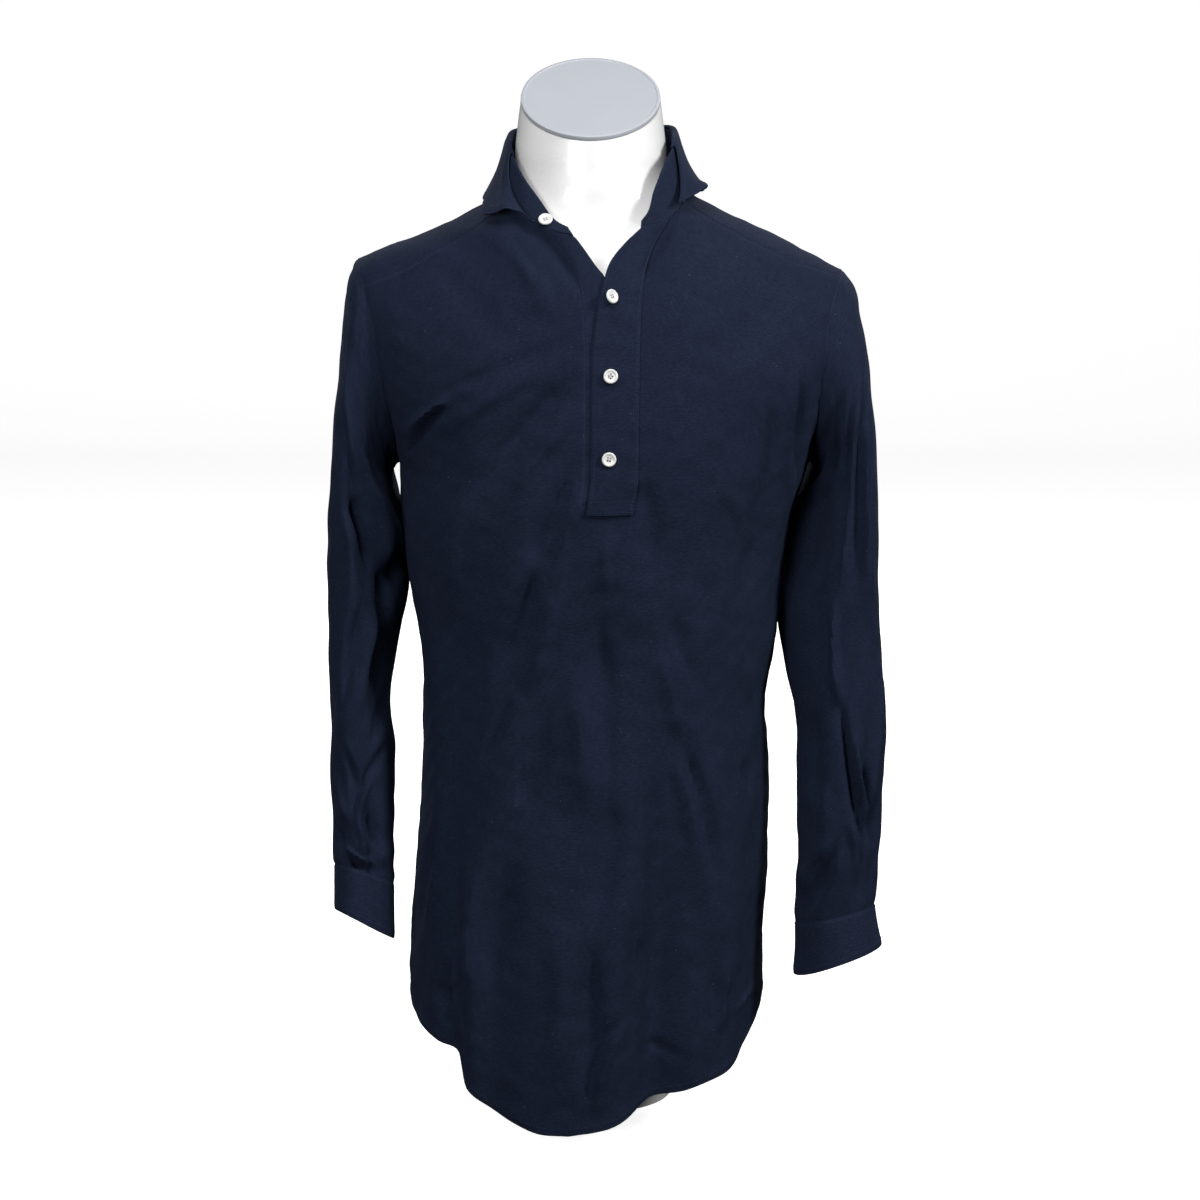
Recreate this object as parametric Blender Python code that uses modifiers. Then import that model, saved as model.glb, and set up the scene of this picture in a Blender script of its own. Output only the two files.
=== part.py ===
# Long-sleeved navy polo shirt, unfastened collar, on a white limbless torso form.
# Metres. X to the viewer's right, Y away from the viewer, Z up, floor at Z = 0.
# Left and right in names are the viewer's.
import math

import bpy
import numpy as np
from mathutils import Matrix, Vector

# ---------------------------------------------------------------- main sizes
CLOTH_T = 0.0015          # knitted cloth
STRIP_T = 0.0016          # placket strips
BAND_T = 0.0024           # collar stand, interlined
LEAF_T = 0.0020           # collar leaf
CUFF_T = 0.0022           # cuffs, two layers
SEAM_GAP = 0.0003         # between neighbouring pieces
LAY_GAP = 0.0005          # under a piece that lies on another

ARMPIT_Z = 0.555
BODY_Y = 0.010            # plane through side seams and shoulder line
PLAN_POWER = 2.4          # roundness of the horizontal sections
ARCH_POWER = 2.3          # roundness of the shoulder arch

# Horizontal sections below the armpit: height, centre x, half width, front, back
BODY_ROWS = (
    (-0.020, -0.0055, 0.1525, 0.150, 0.127),
    (0.095, -0.0055, 0.1525, 0.148, 0.125),
    (0.155, -0.0045, 0.1515, 0.144, 0.124),
    (0.210, -0.0010, 0.1510, 0.140, 0.122),
    (0.280, 0.0025, 0.1485, 0.134, 0.118),
    (0.360, 0.0020, 0.1455, 0.128, 0.112),
    (0.416, 0.0050, 0.1515, 0.126, 0.109),
    (0.458, 0.0030, 0.1570, 0.128, 0.108),
    (0.507, 0.0035, 0.1625, 0.130, 0.109),
    (0.555, 0.0100, 0.1700, 0.132, 0.110),
)
# Above the armpit: share of the rise to the shoulder line, centre x, half width
CHEST_ROWS = (
    (0.00, 0.0100, 0.1700),
    (0.15, 0.0095, 0.1770),
    (0.40, 0.0080, 0.1960),
    (0.70, 0.0070, 0.2130),
    (1.00, 0.0060, 0.2240),
)
CHEST_FRONT = 0.132
CHEST_BACK = 0.110
# Shoulder line: x, height
SHOULDER_ROWS = (
    (-0.240, 0.6960), (-0.2000, 0.7190), (-0.170, 0.7325), (-0.141, 0.7430),
    (-0.0835, 0.7690),
    (-0.050, 0.7890), (0.000, 0.8120), (0.050, 0.7920), (0.0885, 0.7715),
    (0.138, 0.7475), (0.1876, 0.7235), (0.2059, 0.7135), (0.240, 0.6900),
)
# Hem: angle round the body from the front centre, height
HEM_ROWS = (
    (-90, 0.094), (-75, 0.089), (-60, 0.084), (-50, 0.080), (-43, 0.074),
    (-36, 0.052), (-26, 0.036), (-13, 0.021), (-5, 0.017), (4, 0.024),
    (12, 0.035), (18, 0.040), (29, 0.047), (41, 0.056), (53, 0.067),
    (66, 0.083), (90, 0.097), (112, 0.075), (130, 0.048), (152, 0.030),
    (180, 0.024), (208, 0.030), (230, 0.047), (250, 0.074), (270, 0.094),
)
# Armhole: rise (0 armpit, 1 shoulder line), angle from the centre line
ARMHOLE_ROWS = (
    (0.000, 90.0), (0.025, 82.0), (0.070, 74.0), (0.130, 68.0), (0.200, 63.5),
    (0.300, 60.0), (0.450, 57.5), (0.630, 58.0), (0.800, 60.0), (1.000, 61.5),
)
# Neckline stations from the left front end round the back: x, rise
NECK_ROWS = (
    (-0.0145, 0.513), (-0.030, 0.554), (-0.047, 0.635), (-0.060, 0.724),
    (-0.071, 0.800), (-0.0765, 0.920), (-0.0770, 1.040), (-0.0720, 1.130),
    (-0.0580, 1.220), (-0.0360, 1.290), (0.0000, 1.330), (0.0380, 1.290),
    (0.0600, 1.220), (0.0740, 1.130), (0.0795, 1.040), (0.0790, 0.920),
    (0.0745, 0.810), (0.0690, 0.725), (0.0610, 0.655), (0.0510, 0.610),
    (0.0395, 0.573),
)
NECK_SLOT_L = 2.0         # stations where plackets and yoke begin
NECK_YOKE_L = 4.0
NECK_YOKE_R = 16.0
NECK_SLOT_R = 18.0
NECK_END = 20.0
# Back yoke seam: angle from the back centre, rise past the shoulder line
YOKE_BACK_ROWS = ((0, 1.667), (13, 1.633), (30, 1.544), (52, 1.432), (60, 1.405))
YOKE_FRONT_L = 0.630      # rise of the front yoke seam at the armhole
YOKE_FRONT_R = 0.840
YOKE_BACK = 1.411
YOKE_BOW_L = -0.045
YOKE_BOW_R = -0.090
# Plackets above the armpit: x and height of slot edge and free edge, row by row
UNDER_ROWS = (
    (-0.0055, 0.555, 0.0305, 0.555), (-0.0052, 0.578, 0.0305, 0.577),
    (-0.0050, 0.602, 0.0305, 0.599), (-0.0050, 0.625, 0.0302, 0.621),
    (-0.0050, 0.649, 0.0290, 0.643), (-0.0058, 0.672, 0.0262, 0.664),
    (-0.0078, 0.694, 0.0215, 0.685), (-0.0135, 0.715, 0.0155, 0.704),
    (-0.0265, 0.735, 0.0035, 0.7225), (None, None, None, None),
)
OVER_ROWS = (
    (0.0315, 0.555, -0.0005, 0.555), (0.0318, 0.578, 0.0000, 0.577),
    (0.0320, 0.602, 0.0003, 0.599), (0.0323, 0.625, 0.0005, 0.621),
    (0.0326, 0.649, 0.0008, 0.643), (0.0332, 0.672, 0.0020, 0.664),
    (0.0345, 0.694, 0.0045, 0.684), (0.0380, 0.716, 0.0085, 0.704),
    (0.0470, 0.737, 0.0160, 0.727), (None, None, None, None),
)
# Folds of the body: angle and height at three points from the top down,
# half width, height (negative is a trough)
BODY_FOLDS = (
    (-2, 0.680, -20, 0.645, -42, 0.600, 0.016, 0.0030),
    (-3, 0.640, -17, 0.590, -38, 0.520, 0.015, -0.0040),
    (-5, 0.575, -18, 0.500, -36, 0.330, 0.020, 0.0055),
    (-12, 0.560, -26, 0.480, -46, 0.330, 0.018, -0.0040),
    (2, 0.520, 6, 0.470, 11, 0.420, 0.016, 0.0030),
    (46, 0.620, 50, 0.520, 53, 0.400, 0.018, -0.0045),
    (66, 0.640, 65, 0.560, 60, 0.470, 0.016, 0.0040),
    (2, 0.420, 3, 0.330, 7, 0.230, 0.022, 0.0035),
    (20, 0.400, 30, 0.260, 38, 0.060, 0.018, -0.0045),
    (30, 0.380, 40, 0.240, 50, 0.080, 0.020, 0.0040),
    (-62, 0.480, -56, 0.330, -58, 0.160, 0.020, 0.0040),
    (-46, 0.300, -43, 0.120, -42, -0.050, 0.014, -0.0090),
    (-36, 0.260, -34, 0.130, -33, -0.050, 0.018, 0.0060),
    (-8, 0.300, -8, 0.150, -8, -0.050, 0.030, 0.0060),
    (9, 0.300, 8, 0.160, 8, -0.050, 0.016, 0.0080),
    (20, 0.400, 19, 0.080, 19, -0.050, 0.022, -0.0200),
    (48, 0.260, 47, 0.150, 46, -0.050, 0.022, 0.0050),
    (118, 0.620, 126, 0.450, 132, 0.200, 0.022, 0.0050),
    (132, 0.560, 142, 0.380, 146, -0.050, 0.020, -0.0060),
    (152, 0.520, 158, 0.330, 160, 0.080, 0.022, 0.0060),
    (172, 0.480, 176, 0.300, 178, -0.050, 0.022, -0.0070),
    (196, 0.540, 192, 0.360, 194, 0.060, 0.022, 0.0060),
    (214, 0.580, 212, 0.380, 210, -0.050, 0.020, -0.0070),
    (238, 0.620, 232, 0.420, 228, 0.160, 0.024, 0.0060),
)
# Drag folds between the open neck and the chest
NECK_FOLDS = (
    (-22, 0.745, -14, 0.710, -6, 0.670, 0.010, 0.0020),
    (-34, 0.730, -24, 0.690, -14, 0.640, 0.012, -0.0025),
    (30, 0.740, 24, 0.700, 17, 0.650, 0.011, 0.0022),
    (42, 0.735, 36, 0.690, 28, 0.640, 0.013, -0.0025),
)
FOLD_RADIUS = 0.150       # turns fold angles into widths

# Collar stations: neckline station, top edge of the stand x y z, leaf edge x y z
COLLAR_ROWS = (
    (0.0, -0.0185, -0.0700, 0.7510, -0.0500, -0.0800, 0.7620),
    (1.0, -0.0300, -0.0640, 0.7580, -0.0500, -0.0800, 0.7620),
    (2.0, -0.0425, -0.0540, 0.7740, -0.0515, -0.0790, 0.7620),
    (3.0, -0.0570, -0.0400, 0.7930, -0.0525, -0.0740, 0.7620),
    (3.7, -0.0645, -0.0240, 0.8060, -0.0530, -0.0700, 0.7615),
    (4.1, -0.0665, -0.0155, 0.8105, -0.0670, -0.0680, 0.7655),
    (4.5, -0.0675, -0.0060, 0.8140, -0.0780, -0.0620, 0.7620),
    (4.9, -0.0680, 0.0015, 0.8160, -0.0860, -0.0500, 0.7610),
    (5.5, -0.0680, 0.0130, 0.8185, -0.0880, -0.0240, 0.7680),
    (7.0, -0.0640, 0.0390, 0.8250, -0.0865, 0.0330, 0.7740),
    (8.5, -0.0460, 0.0600, 0.8270, -0.0640, 0.0800, 0.7760),
    (10.0, 0.0000, 0.0700, 0.8280, 0.0000, 0.0930, 0.7780),
    (11.5, 0.0470, 0.0610, 0.8280, 0.0660, 0.0800, 0.7770),
    (13.0, 0.0650, 0.0400, 0.8280, 0.0890, 0.0320, 0.7770),
    (14.5, 0.0680, 0.0130, 0.8225, 0.0905, -0.0180, 0.7790),
    (15.5, 0.0670, -0.0060, 0.8185, 0.0890, -0.0480, 0.7795),
    (16.3, 0.0660, -0.0240, 0.8120, 0.0690, -0.0640, 0.7700),
    (17.0, 0.0600, -0.0400, 0.8030, 0.0690, -0.0660, 0.7690),
    (18.0, 0.0510, -0.0560, 0.7820, 0.0690, -0.0670, 0.7690),
    (19.0, 0.0465, -0.0680, 0.7660, 0.0690, -0.0670, 0.7690),
    (20.0, 0.0390, -0.0730, 0.7560, 0.0690, -0.0670, 0.7690),
)
LEAF_START = 3.7          # stations where the leaf's front edges leave the stand
LEAF_END = 16.3

# Sleeves from the armhole down: inner x z, outer x z, centre y, front, back,
# forward tilt of the ring in degrees, share of the armhole's own shape, and how
# far the inner edge lies behind the centre
SLEEVE_LEFT_ROWS = (
    (-0.1600, 0.5550, -0.1960, 0.7195, 0.006, 0.072, 0.070, 0, 1.00, 0.000),
    (-0.1660, 0.5500, -0.2015, 0.7080, 0.006, 0.073, 0.071, 0, 0.70, 0.002),
    (-0.1685, 0.5430, -0.2045, 0.6860, 0.006, 0.073, 0.072, 0, 0.45, 0.005),
    (-0.1680, 0.5300, -0.2070, 0.6500, 0.006, 0.072, 0.073, 1, 0.20, 0.012),
    (-0.1630, 0.5130, -0.2105, 0.6100, 0.006, 0.070, 0.072, 2, 0.05, 0.020),
    (-0.1580, 0.4930, -0.2140, 0.5650, 0.006, 0.068, 0.070, 3, 0.00, 0.026),
    (-0.1585, 0.4680, -0.2180, 0.5150, 0.004, 0.066, 0.068, 4, 0.00, 0.022),
    (-0.1562, 0.4440, -0.2205, 0.4680, 0.001, 0.064, 0.066, 6, 0.00, 0.014),
    (-0.1660, 0.4000, -0.2205, 0.4200, -0.004, 0.062, 0.064, 9, 0.00, 0.006),
    (-0.1719, 0.3550, -0.2205, 0.3720, -0.012, 0.060, 0.061, 12, 0.00, 0.000),
    (-0.1672, 0.3180, -0.2192, 0.3290, -0.021, 0.058, 0.058, 15, 0.00, 0.000),
    (-0.1675, 0.2820, -0.2188, 0.2890, -0.030, 0.055, 0.055, 17, 0.00, 0.000),
    (-0.1678, 0.2480, -0.2175, 0.2565, -0.040, 0.053, 0.053, 19, 0.00, 0.000),
    (-0.1672, 0.2230, -0.2166, 0.2370, -0.048, 0.049, 0.050, 20, 0.00, 0.000),
    (-0.1664, 0.2060, -0.2156, 0.2226, -0.055, 0.044, 0.045, 20, 0.00, 0.000),
)
CUFF_LEFT_ROWS = (
    (-0.1664, 0.2060, -0.2156, 0.2226, -0.055, 0.044, 0.045, 20, 0.00, 0.000),
    (-0.1663, 0.1840, -0.2154, 0.2041, -0.060, 0.045, 0.046, 20, 0.00, 0.000),
    (-0.1657, 0.1615, -0.2151, 0.1868, -0.066, 0.046, 0.047, 20, 0.00, 0.000),
)
SLEEVE_RIGHT_ROWS = (
    (0.1800, 0.5550, 0.2080, 0.7140, 0.006, 0.072, 0.070, 0, 1.00, 0.000),
    (0.1845, 0.5500, 0.2175, 0.7000, 0.006, 0.072, 0.071, 0, 0.70, 0.002),
    (0.1855, 0.5430, 0.2225, 0.6760, 0.006, 0.071, 0.072, 0, 0.45, 0.006),
    (0.1800, 0.5300, 0.2280, 0.6400, 0.006, 0.068, 0.073, 1, 0.20, 0.014),
    (0.1715, 0.5120, 0.2315, 0.5980, 0.007, 0.065, 0.072, 1, 0.05, 0.026),
    (0.1650, 0.4890, 0.2350, 0.5500, 0.007, 0.063, 0.070, 2, 0.00, 0.030),
    (0.1598, 0.4600, 0.2370, 0.5000, 0.005, 0.062, 0.068, 3, 0.00, 0.028),
    (0.1575, 0.4270, 0.2385, 0.4500, 0.001, 0.062, 0.066, 4, 0.00, 0.020),
    (0.1635, 0.3850, 0.2425, 0.4000, -0.004, 0.062, 0.064, 6, 0.00, 0.010),
    (0.1722, 0.3420, 0.2462, 0.3520, -0.012, 0.061, 0.062, 8, 0.00, 0.003),
    (0.1735, 0.3020, 0.2462, 0.3130, -0.020, 0.060, 0.060, 10, 0.00, 0.000),
    (0.1735, 0.2700, 0.2440, 0.2810, -0.026, 0.058, 0.057, 11, 0.00, 0.000),
    (0.1748, 0.2370, 0.2430, 0.2520, -0.033, 0.055, 0.054, 12, 0.00, 0.000),
    (0.1741, 0.2020, 0.2400, 0.2190, -0.040, 0.050, 0.050, 12, 0.00, 0.000),
    (0.1717, 0.1686, 0.2382, 0.1862, -0.045, 0.046, 0.046, 12, 0.00, 0.000),
)
CUFF_RIGHT_ROWS = (
    (0.1717, 0.1686, 0.2382, 0.1862, -0.045, 0.046, 0.046, 12, 0.00, 0.000),
    (0.1717, 0.1478, 0.2406, 0.1699, -0.049, 0.047, 0.047, 12, 0.00, 0.000),
    (0.1700, 0.1261, 0.2443, 0.1536, -0.053, 0.048, 0.048, 12, 0.00, 0.000),
)
# Folds of a sleeve: turn round it (0 inner, 90 front, 180 outer) and row share
# at both ends, half width, height
SLEEVE_LEFT_FOLDS = (
    (120, 0.25, 78, 0.55, 0.010, -0.0050),
    (95, 0.22, 52, 0.50, 0.012, 0.0045),
    (60, 0.25, 30, 0.52, 0.009, -0.0035),
    (100, 0.50, 110, 0.80, 0.012, 0.0035),
    (74, 0.80, 62, 1.02, 0.009, -0.0070),
    (92, 0.76, 88, 0.97, 0.010, 0.0040),
    (46, 0.78, 44, 0.97, 0.009, 0.0040),
    (130, 0.72, 125, 0.95, 0.010, -0.0030),
    (255, 0.30, 290, 0.60, 0.012, -0.0045),
    (300, 0.28, 320, 0.58, 0.011, 0.0040),
    (250, 0.78, 255, 1.00, 0.010, -0.0050),
    (285, 0.76, 282, 0.98, 0.010, 0.0040),
)
SLEEVE_RIGHT_FOLDS = (
    (60, 0.12, 52, 0.50, 0.016, -0.0080),
    (98, 0.12, 88, 0.55, 0.011, 0.0050),
    (138, 0.18, 132, 0.55, 0.010, 0.0035),
    (118, 0.18, 112, 0.50, 0.009, -0.0035),
    (122, 0.60, 118, 1.02, 0.009, -0.0060),
    (146, 0.64, 140, 1.02, 0.008, -0.0045),
    (132, 0.60, 128, 0.97, 0.007, 0.0040),
    (50, 0.74, 80, 0.95, 0.012, 0.0030),
    (250, 0.28, 285, 0.60, 0.013, -0.0050),
    (300, 0.25, 315, 0.55, 0.011, 0.0045),
    (240, 0.70, 245, 1.00, 0.010, -0.0050),
    (272, 0.72, 270, 0.98, 0.010, 0.0040),
)

# Torso form: height, half width, front, back, lean of the ring
FORM_ROWS = (
    (0.138, 0.128, 0.106, 0.098, 0), (0.146, 0.134, 0.112, 0.104, 0),
    (0.200, 0.136, 0.116, 0.108, 0), (0.270, 0.130, 0.110, 0.102, 0),
    (0.350, 0.122, 0.100, 0.090, 0), (0.420, 0.125, 0.103, 0.088, 0),
    (0.490, 0.135, 0.110, 0.094, 0), (0.560, 0.146, 0.114, 0.098, 0),
    (0.620, 0.158, 0.110, 0.097, 0), (0.664, 0.168, 0.101, 0.092, 0),
    (0.693, 0.170, 0.091, 0.086, 0), (0.713, 0.166, 0.083, 0.080, 0),
    (0.7290, 0.152, 0.075, 0.073, 0), (0.7435, 0.129, 0.068, 0.067, 0),
    (0.7555, 0.103, 0.063, 0.061, 0), (0.7670, 0.081, 0.060, 0.056, 0),
    (0.7800, 0.067, 0.059, 0.051, 0), (0.7950, 0.0625, 0.057, 0.049, 3),
    (0.812, 0.0617, 0.056, 0.048, 10), (0.834, 0.0592, 0.055, 0.0475, 22),
    (0.8505, 0.0570, 0.0545, 0.0545, 31),
)
FORM_Y = 0.004
FORM_X = -0.001
PLINTH_ROWS = ((0.000, 0.070, 0.056), (0.130, 0.070, 0.056))
CAP_T = 0.0040

BUTTON_R = 0.0057
BUTTON_H = 0.0024
BUTTON_STEPS = 16
# Buttons on the placket: x, height, turn about the vertical, lift
BUTTON_ROWS = (
    ("button_top", 0.0150, 0.6970, 38.0, 0.0029),
    ("button_middle", 0.0150, 0.6370, 0.0, 0.0006),
    ("button_bottom", 0.0138, 0.5725, 0.0, 0.0008),
)
BAND_BUTTON = (1.45, 0.30)  # neckline station and share of the stand's height

# Grid divisions
HEM_TO_ARMPIT = (0, 0.055, 0.11, 0.17, 0.23, 0.29, 0.35, 0.41, 0.47, 0.53,
                 0.59, 0.65, 0.71, 0.77, 0.83, 0.89, 0.9645, 1.0)
SLOT_ROW = 16             # row at the lower end of the slot
SIDE_COLS_L = 11
SIDE_COLS_R = 10
YOKE_ROWS = 7
BACK_COLS = 20
ARM_YOKE_COLS = 5
BACK_RISES = (0, 0.025, 0.07, 0.13, 0.20, 0.28, 0.36, 0.44, 0.515, 0.589)
FRONT_RISES_L = (0, 0.025, 0.07, 0.13, 0.20, 0.28, 0.36, 0.45, 0.54, 0.63)
FRONT_RISES_R = (0, 0.025, 0.07, 0.13, 0.20, 0.29, 0.40, 0.53, 0.68, 0.84)
SLEEVE_STEPS = 24


# ---------------------------------------------------------------- tables
def column(rows, index):
    return np.array([row[index] for row in rows], dtype=float)


def smooth(value, xs, ys):
    """Cubic curve through a table, held flat beyond its ends."""
    xs = np.asarray(xs, dtype=float)
    ys = np.asarray(ys, dtype=float)
    slope = np.empty_like(ys)
    slope[1:-1] = (ys[2:] - ys[:-2]) / (xs[2:] - xs[:-2])
    slope[0] = (ys[1] - ys[0]) / (xs[1] - xs[0])
    slope[-1] = (ys[-1] - ys[-2]) / (xs[-1] - xs[-2])
    v = np.clip(np.asarray(value, dtype=float), xs[0], xs[-1])
    i = np.clip(np.searchsorted(xs, v) - 1, 0, len(xs) - 2)
    step = xs[i + 1] - xs[i]
    t = (v - xs[i]) / step
    a = ys[i] * (2 * t**3 - 3 * t**2 + 1) + ys[i + 1] * (3 * t**2 - 2 * t**3)
    b = slope[i] * (t**3 - 2 * t**2 + t) + slope[i + 1] * (t**3 - t**2)
    return a + b * step


def table(value, rows, index):
    return smooth(value, column(rows, 0), column(rows, index))


def unit(v):
    length = np.linalg.norm(v, axis=-1, keepdims=True)
    return v / np.maximum(length, 1e-12)


# ---------------------------------------------------------------- body surface
def body(angle, rise):
    """Smooth body: angle round it, rise (metres below 0, share above 0)."""
    angle = np.asarray(angle, dtype=float)
    rise = np.asarray(rise, dtype=float)
    angle, rise = np.broadcast_arrays(angle, rise)
    past = rise > 1.0
    angle = np.where(past, 180.0 - angle, angle)
    rise = np.where(past, 2.0 - rise, rise)
    s = np.sin(np.radians(angle))
    c = np.cos(np.radians(angle))
    wide = np.sign(s) * np.abs(s) ** (2 / PLAN_POWER)
    deep = np.sign(c) * np.abs(c) ** (2 / PLAN_POWER)
    low = rise <= 0
    z_low = ARMPIT_Z + np.minimum(rise, 0)
    turn = np.radians(90 * np.clip(rise, 0, 1))
    share = np.sin(turn) ** (2 / ARCH_POWER)
    arch = np.abs(np.cos(turn)) ** (2 / ARCH_POWER)
    cx = np.where(low, table(z_low, BODY_ROWS, 1), table(share, CHEST_ROWS, 1))
    half = np.where(low, table(z_low, BODY_ROWS, 2), table(share, CHEST_ROWS, 2))
    front = np.where(low, table(z_low, BODY_ROWS, 3), CHEST_FRONT * arch)
    back = np.where(low, table(z_low, BODY_ROWS, 4), CHEST_BACK * arch)
    x = cx + half * wide
    y = BODY_Y - np.where(deep > 0, front, back) * deep
    top = table(x, SHOULDER_ROWS, 1)
    z = np.where(low, z_low, ARMPIT_Z + (top - ARMPIT_Z) * share)
    return np.stack([x, y, z], axis=-1)


def locate(x, z):
    """Angle and rise of a front point above the armpit."""
    share = np.clip((z - ARMPIT_Z) / (table(x, SHOULDER_ROWS, 1) - ARMPIT_Z), 0, 1)
    rise = np.degrees(np.arcsin(share ** (ARCH_POWER / 2))) / 90
    return lateral(x, rise), rise


def lateral(x, rise):
    """Angle from the centre line of a point at this x and rise."""
    turn = np.radians(90 * (1 - np.abs(1 - np.clip(rise, 0, 2))))
    share = np.sin(turn) ** (2 / ARCH_POWER)
    wide = (x - table(share, CHEST_ROWS, 1)) / table(share, CHEST_ROWS, 2)
    return np.sign(wide) * np.degrees(np.arcsin(np.clip(np.abs(wide), 0, 1) ** (PLAN_POWER / 2)))


def fade(value, low, high):
    t = np.clip((value - low) / (high - low), 0, 1)
    return t * t * (3 - 2 * t)


def fold_height(angle, z, folds):
    """Sum of the folds at this place."""
    total = np.zeros_like(z)
    for a1, z1, a2, z2, a3, z3, width, height in folds:
        line = smooth(z, (z3, z2, z1), (a3, a2, a1))
        away = (angle - line + 180) % 360 - 180
        across = np.radians(away) * FOLD_RADIUS / width
        along = fade(z, z1, z2 + 0.25 * (z1 - z2))
        if z3 > 0:
            along = along * fade(z, z3, z2 - 0.25 * (z2 - z3))
        total = total + height * np.exp(-across**2) * along
    return total


def cloth(angle, rise):
    """Body surface with its folds."""
    eps = 0.004
    p = body(angle, rise)
    du = body(np.asarray(angle) + 0.5, rise) - body(np.asarray(angle) - 0.5, rise)
    dv = body(angle, np.asarray(rise) + eps) - body(angle, np.asarray(rise) - eps)
    normal = unit(np.cross(du, dv))
    past = np.asarray(rise) > 1
    real_angle = np.where(past, 180 - np.asarray(angle), angle)
    height = fold_height(real_angle, p[..., 2], BODY_FOLDS + NECK_FOLDS)
    return p + normal * height[..., None]


def cloth_normal(angle, rise):
    eps = 0.004
    du = cloth(np.asarray(angle) + 0.6, rise) - cloth(np.asarray(angle) - 0.6, rise)
    dv = cloth(angle, np.asarray(rise) + eps) - cloth(angle, np.asarray(rise) - eps)
    return unit(np.cross(du, dv))


def hem_rise(angle, share):
    """Rise of a row between hem (0) and armpit (1)."""
    wrapped = (np.asarray(angle, dtype=float) + 90) % 360 - 90
    low = table(wrapped, HEM_ROWS, 1)
    return (low - ARMPIT_Z) * (1 - share)


def patch(bottom, top, left, right):
    """Surface numbers between four edges of (angle, rise) pairs."""
    bottom, top, left, right = (np.asarray(e, dtype=float) for e in (bottom, top, left, right))
    cols = len(bottom)
    rows = len(left)
    u = np.linspace(0, 1, cols)[None, :, None]
    v = np.linspace(0, 1, rows)[:, None, None]
    rule = (1 - v) * bottom[None] + v * top[None] + (1 - u) * left[:, None] + u * right[:, None]
    corner = ((1 - u) * (1 - v) * bottom[0] + u * (1 - v) * bottom[-1]
              + (1 - u) * v * top[0] + u * v * top[-1])
    return rule - corner


# ---------------------------------------------------------------- seams
def arm_angle(rise):
    return table(1 - np.abs(1 - np.asarray(rise, dtype=float)), ARMHOLE_ROWS, 1)


def neck_point(station):
    """Angle and rise of a neckline station."""
    index = np.arange(len(NECK_ROWS))
    x = smooth(station, index, column(NECK_ROWS, 0))
    rise = smooth(station, index, column(NECK_ROWS, 1))
    return np.stack([lateral(x, rise), rise], axis=-1)


def yoke_outer():
    """Yoke edge away from the neck: left armhole, back seam, right armhole."""
    left = np.linspace(YOKE_FRONT_L, YOKE_BACK, ARM_YOKE_COLS + 1)
    right = np.linspace(YOKE_BACK, YOKE_FRONT_R, ARM_YOKE_COLS + 1)
    end = float(arm_angle(YOKE_BACK))
    seam = np.linspace(-end, end, BACK_COLS + 1)
    rise = table(np.abs(seam), YOKE_BACK_ROWS, 1)
    rise = rise + (YOKE_BACK - rise[0]) * (np.abs(seam) / end) ** 4
    parts = [np.stack([-arm_angle(left), left], -1),
             np.stack([seam, rise], -1)[1:-1],
             np.stack([arm_angle(right), right], -1)]
    return np.concatenate(parts)


def yoke_stations():
    left = np.linspace(NECK_YOKE_L, 6.2, ARM_YOKE_COLS + 1)
    middle = np.linspace(6.2, 13.8, BACK_COLS + 1)
    right = np.linspace(13.8, NECK_YOKE_R, ARM_YOKE_COLS + 1)
    return np.concatenate([left, middle[1:-1], right])


def yoke_numbers():
    outer = yoke_outer()
    inner = neck_point(yoke_stations())
    w = np.linspace(0, 1, YOKE_ROWS + 1)[:, None, None]
    grid = inner[None] * (1 - w) + outer[None] * w
    cols = np.arange(len(outer))
    bow = (YOKE_BOW_L * np.clip(1 - cols / 5, 0, 1) ** 2
           + YOKE_BOW_R * np.clip(1 - (len(outer) - 1 - cols) / 5, 0, 1) ** 2)
    share = np.linspace(0, 1, YOKE_ROWS + 1)
    grid[..., 1] += bow[None] * (4 * share * (1 - share))[:, None]
    return grid


def placket_edges(rows, slot_station, end_station):
    """Slot edge and free edge of a placket above the armpit."""
    slot = [np.array(locate(r[0], r[1])) for r in rows[:-1]]
    free = [np.array(locate(r[2], r[3])) for r in rows[:-1]]
    slot.append(neck_point(slot_station))
    free.append(neck_point(end_station))
    return np.array(slot), np.array(free)


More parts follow.
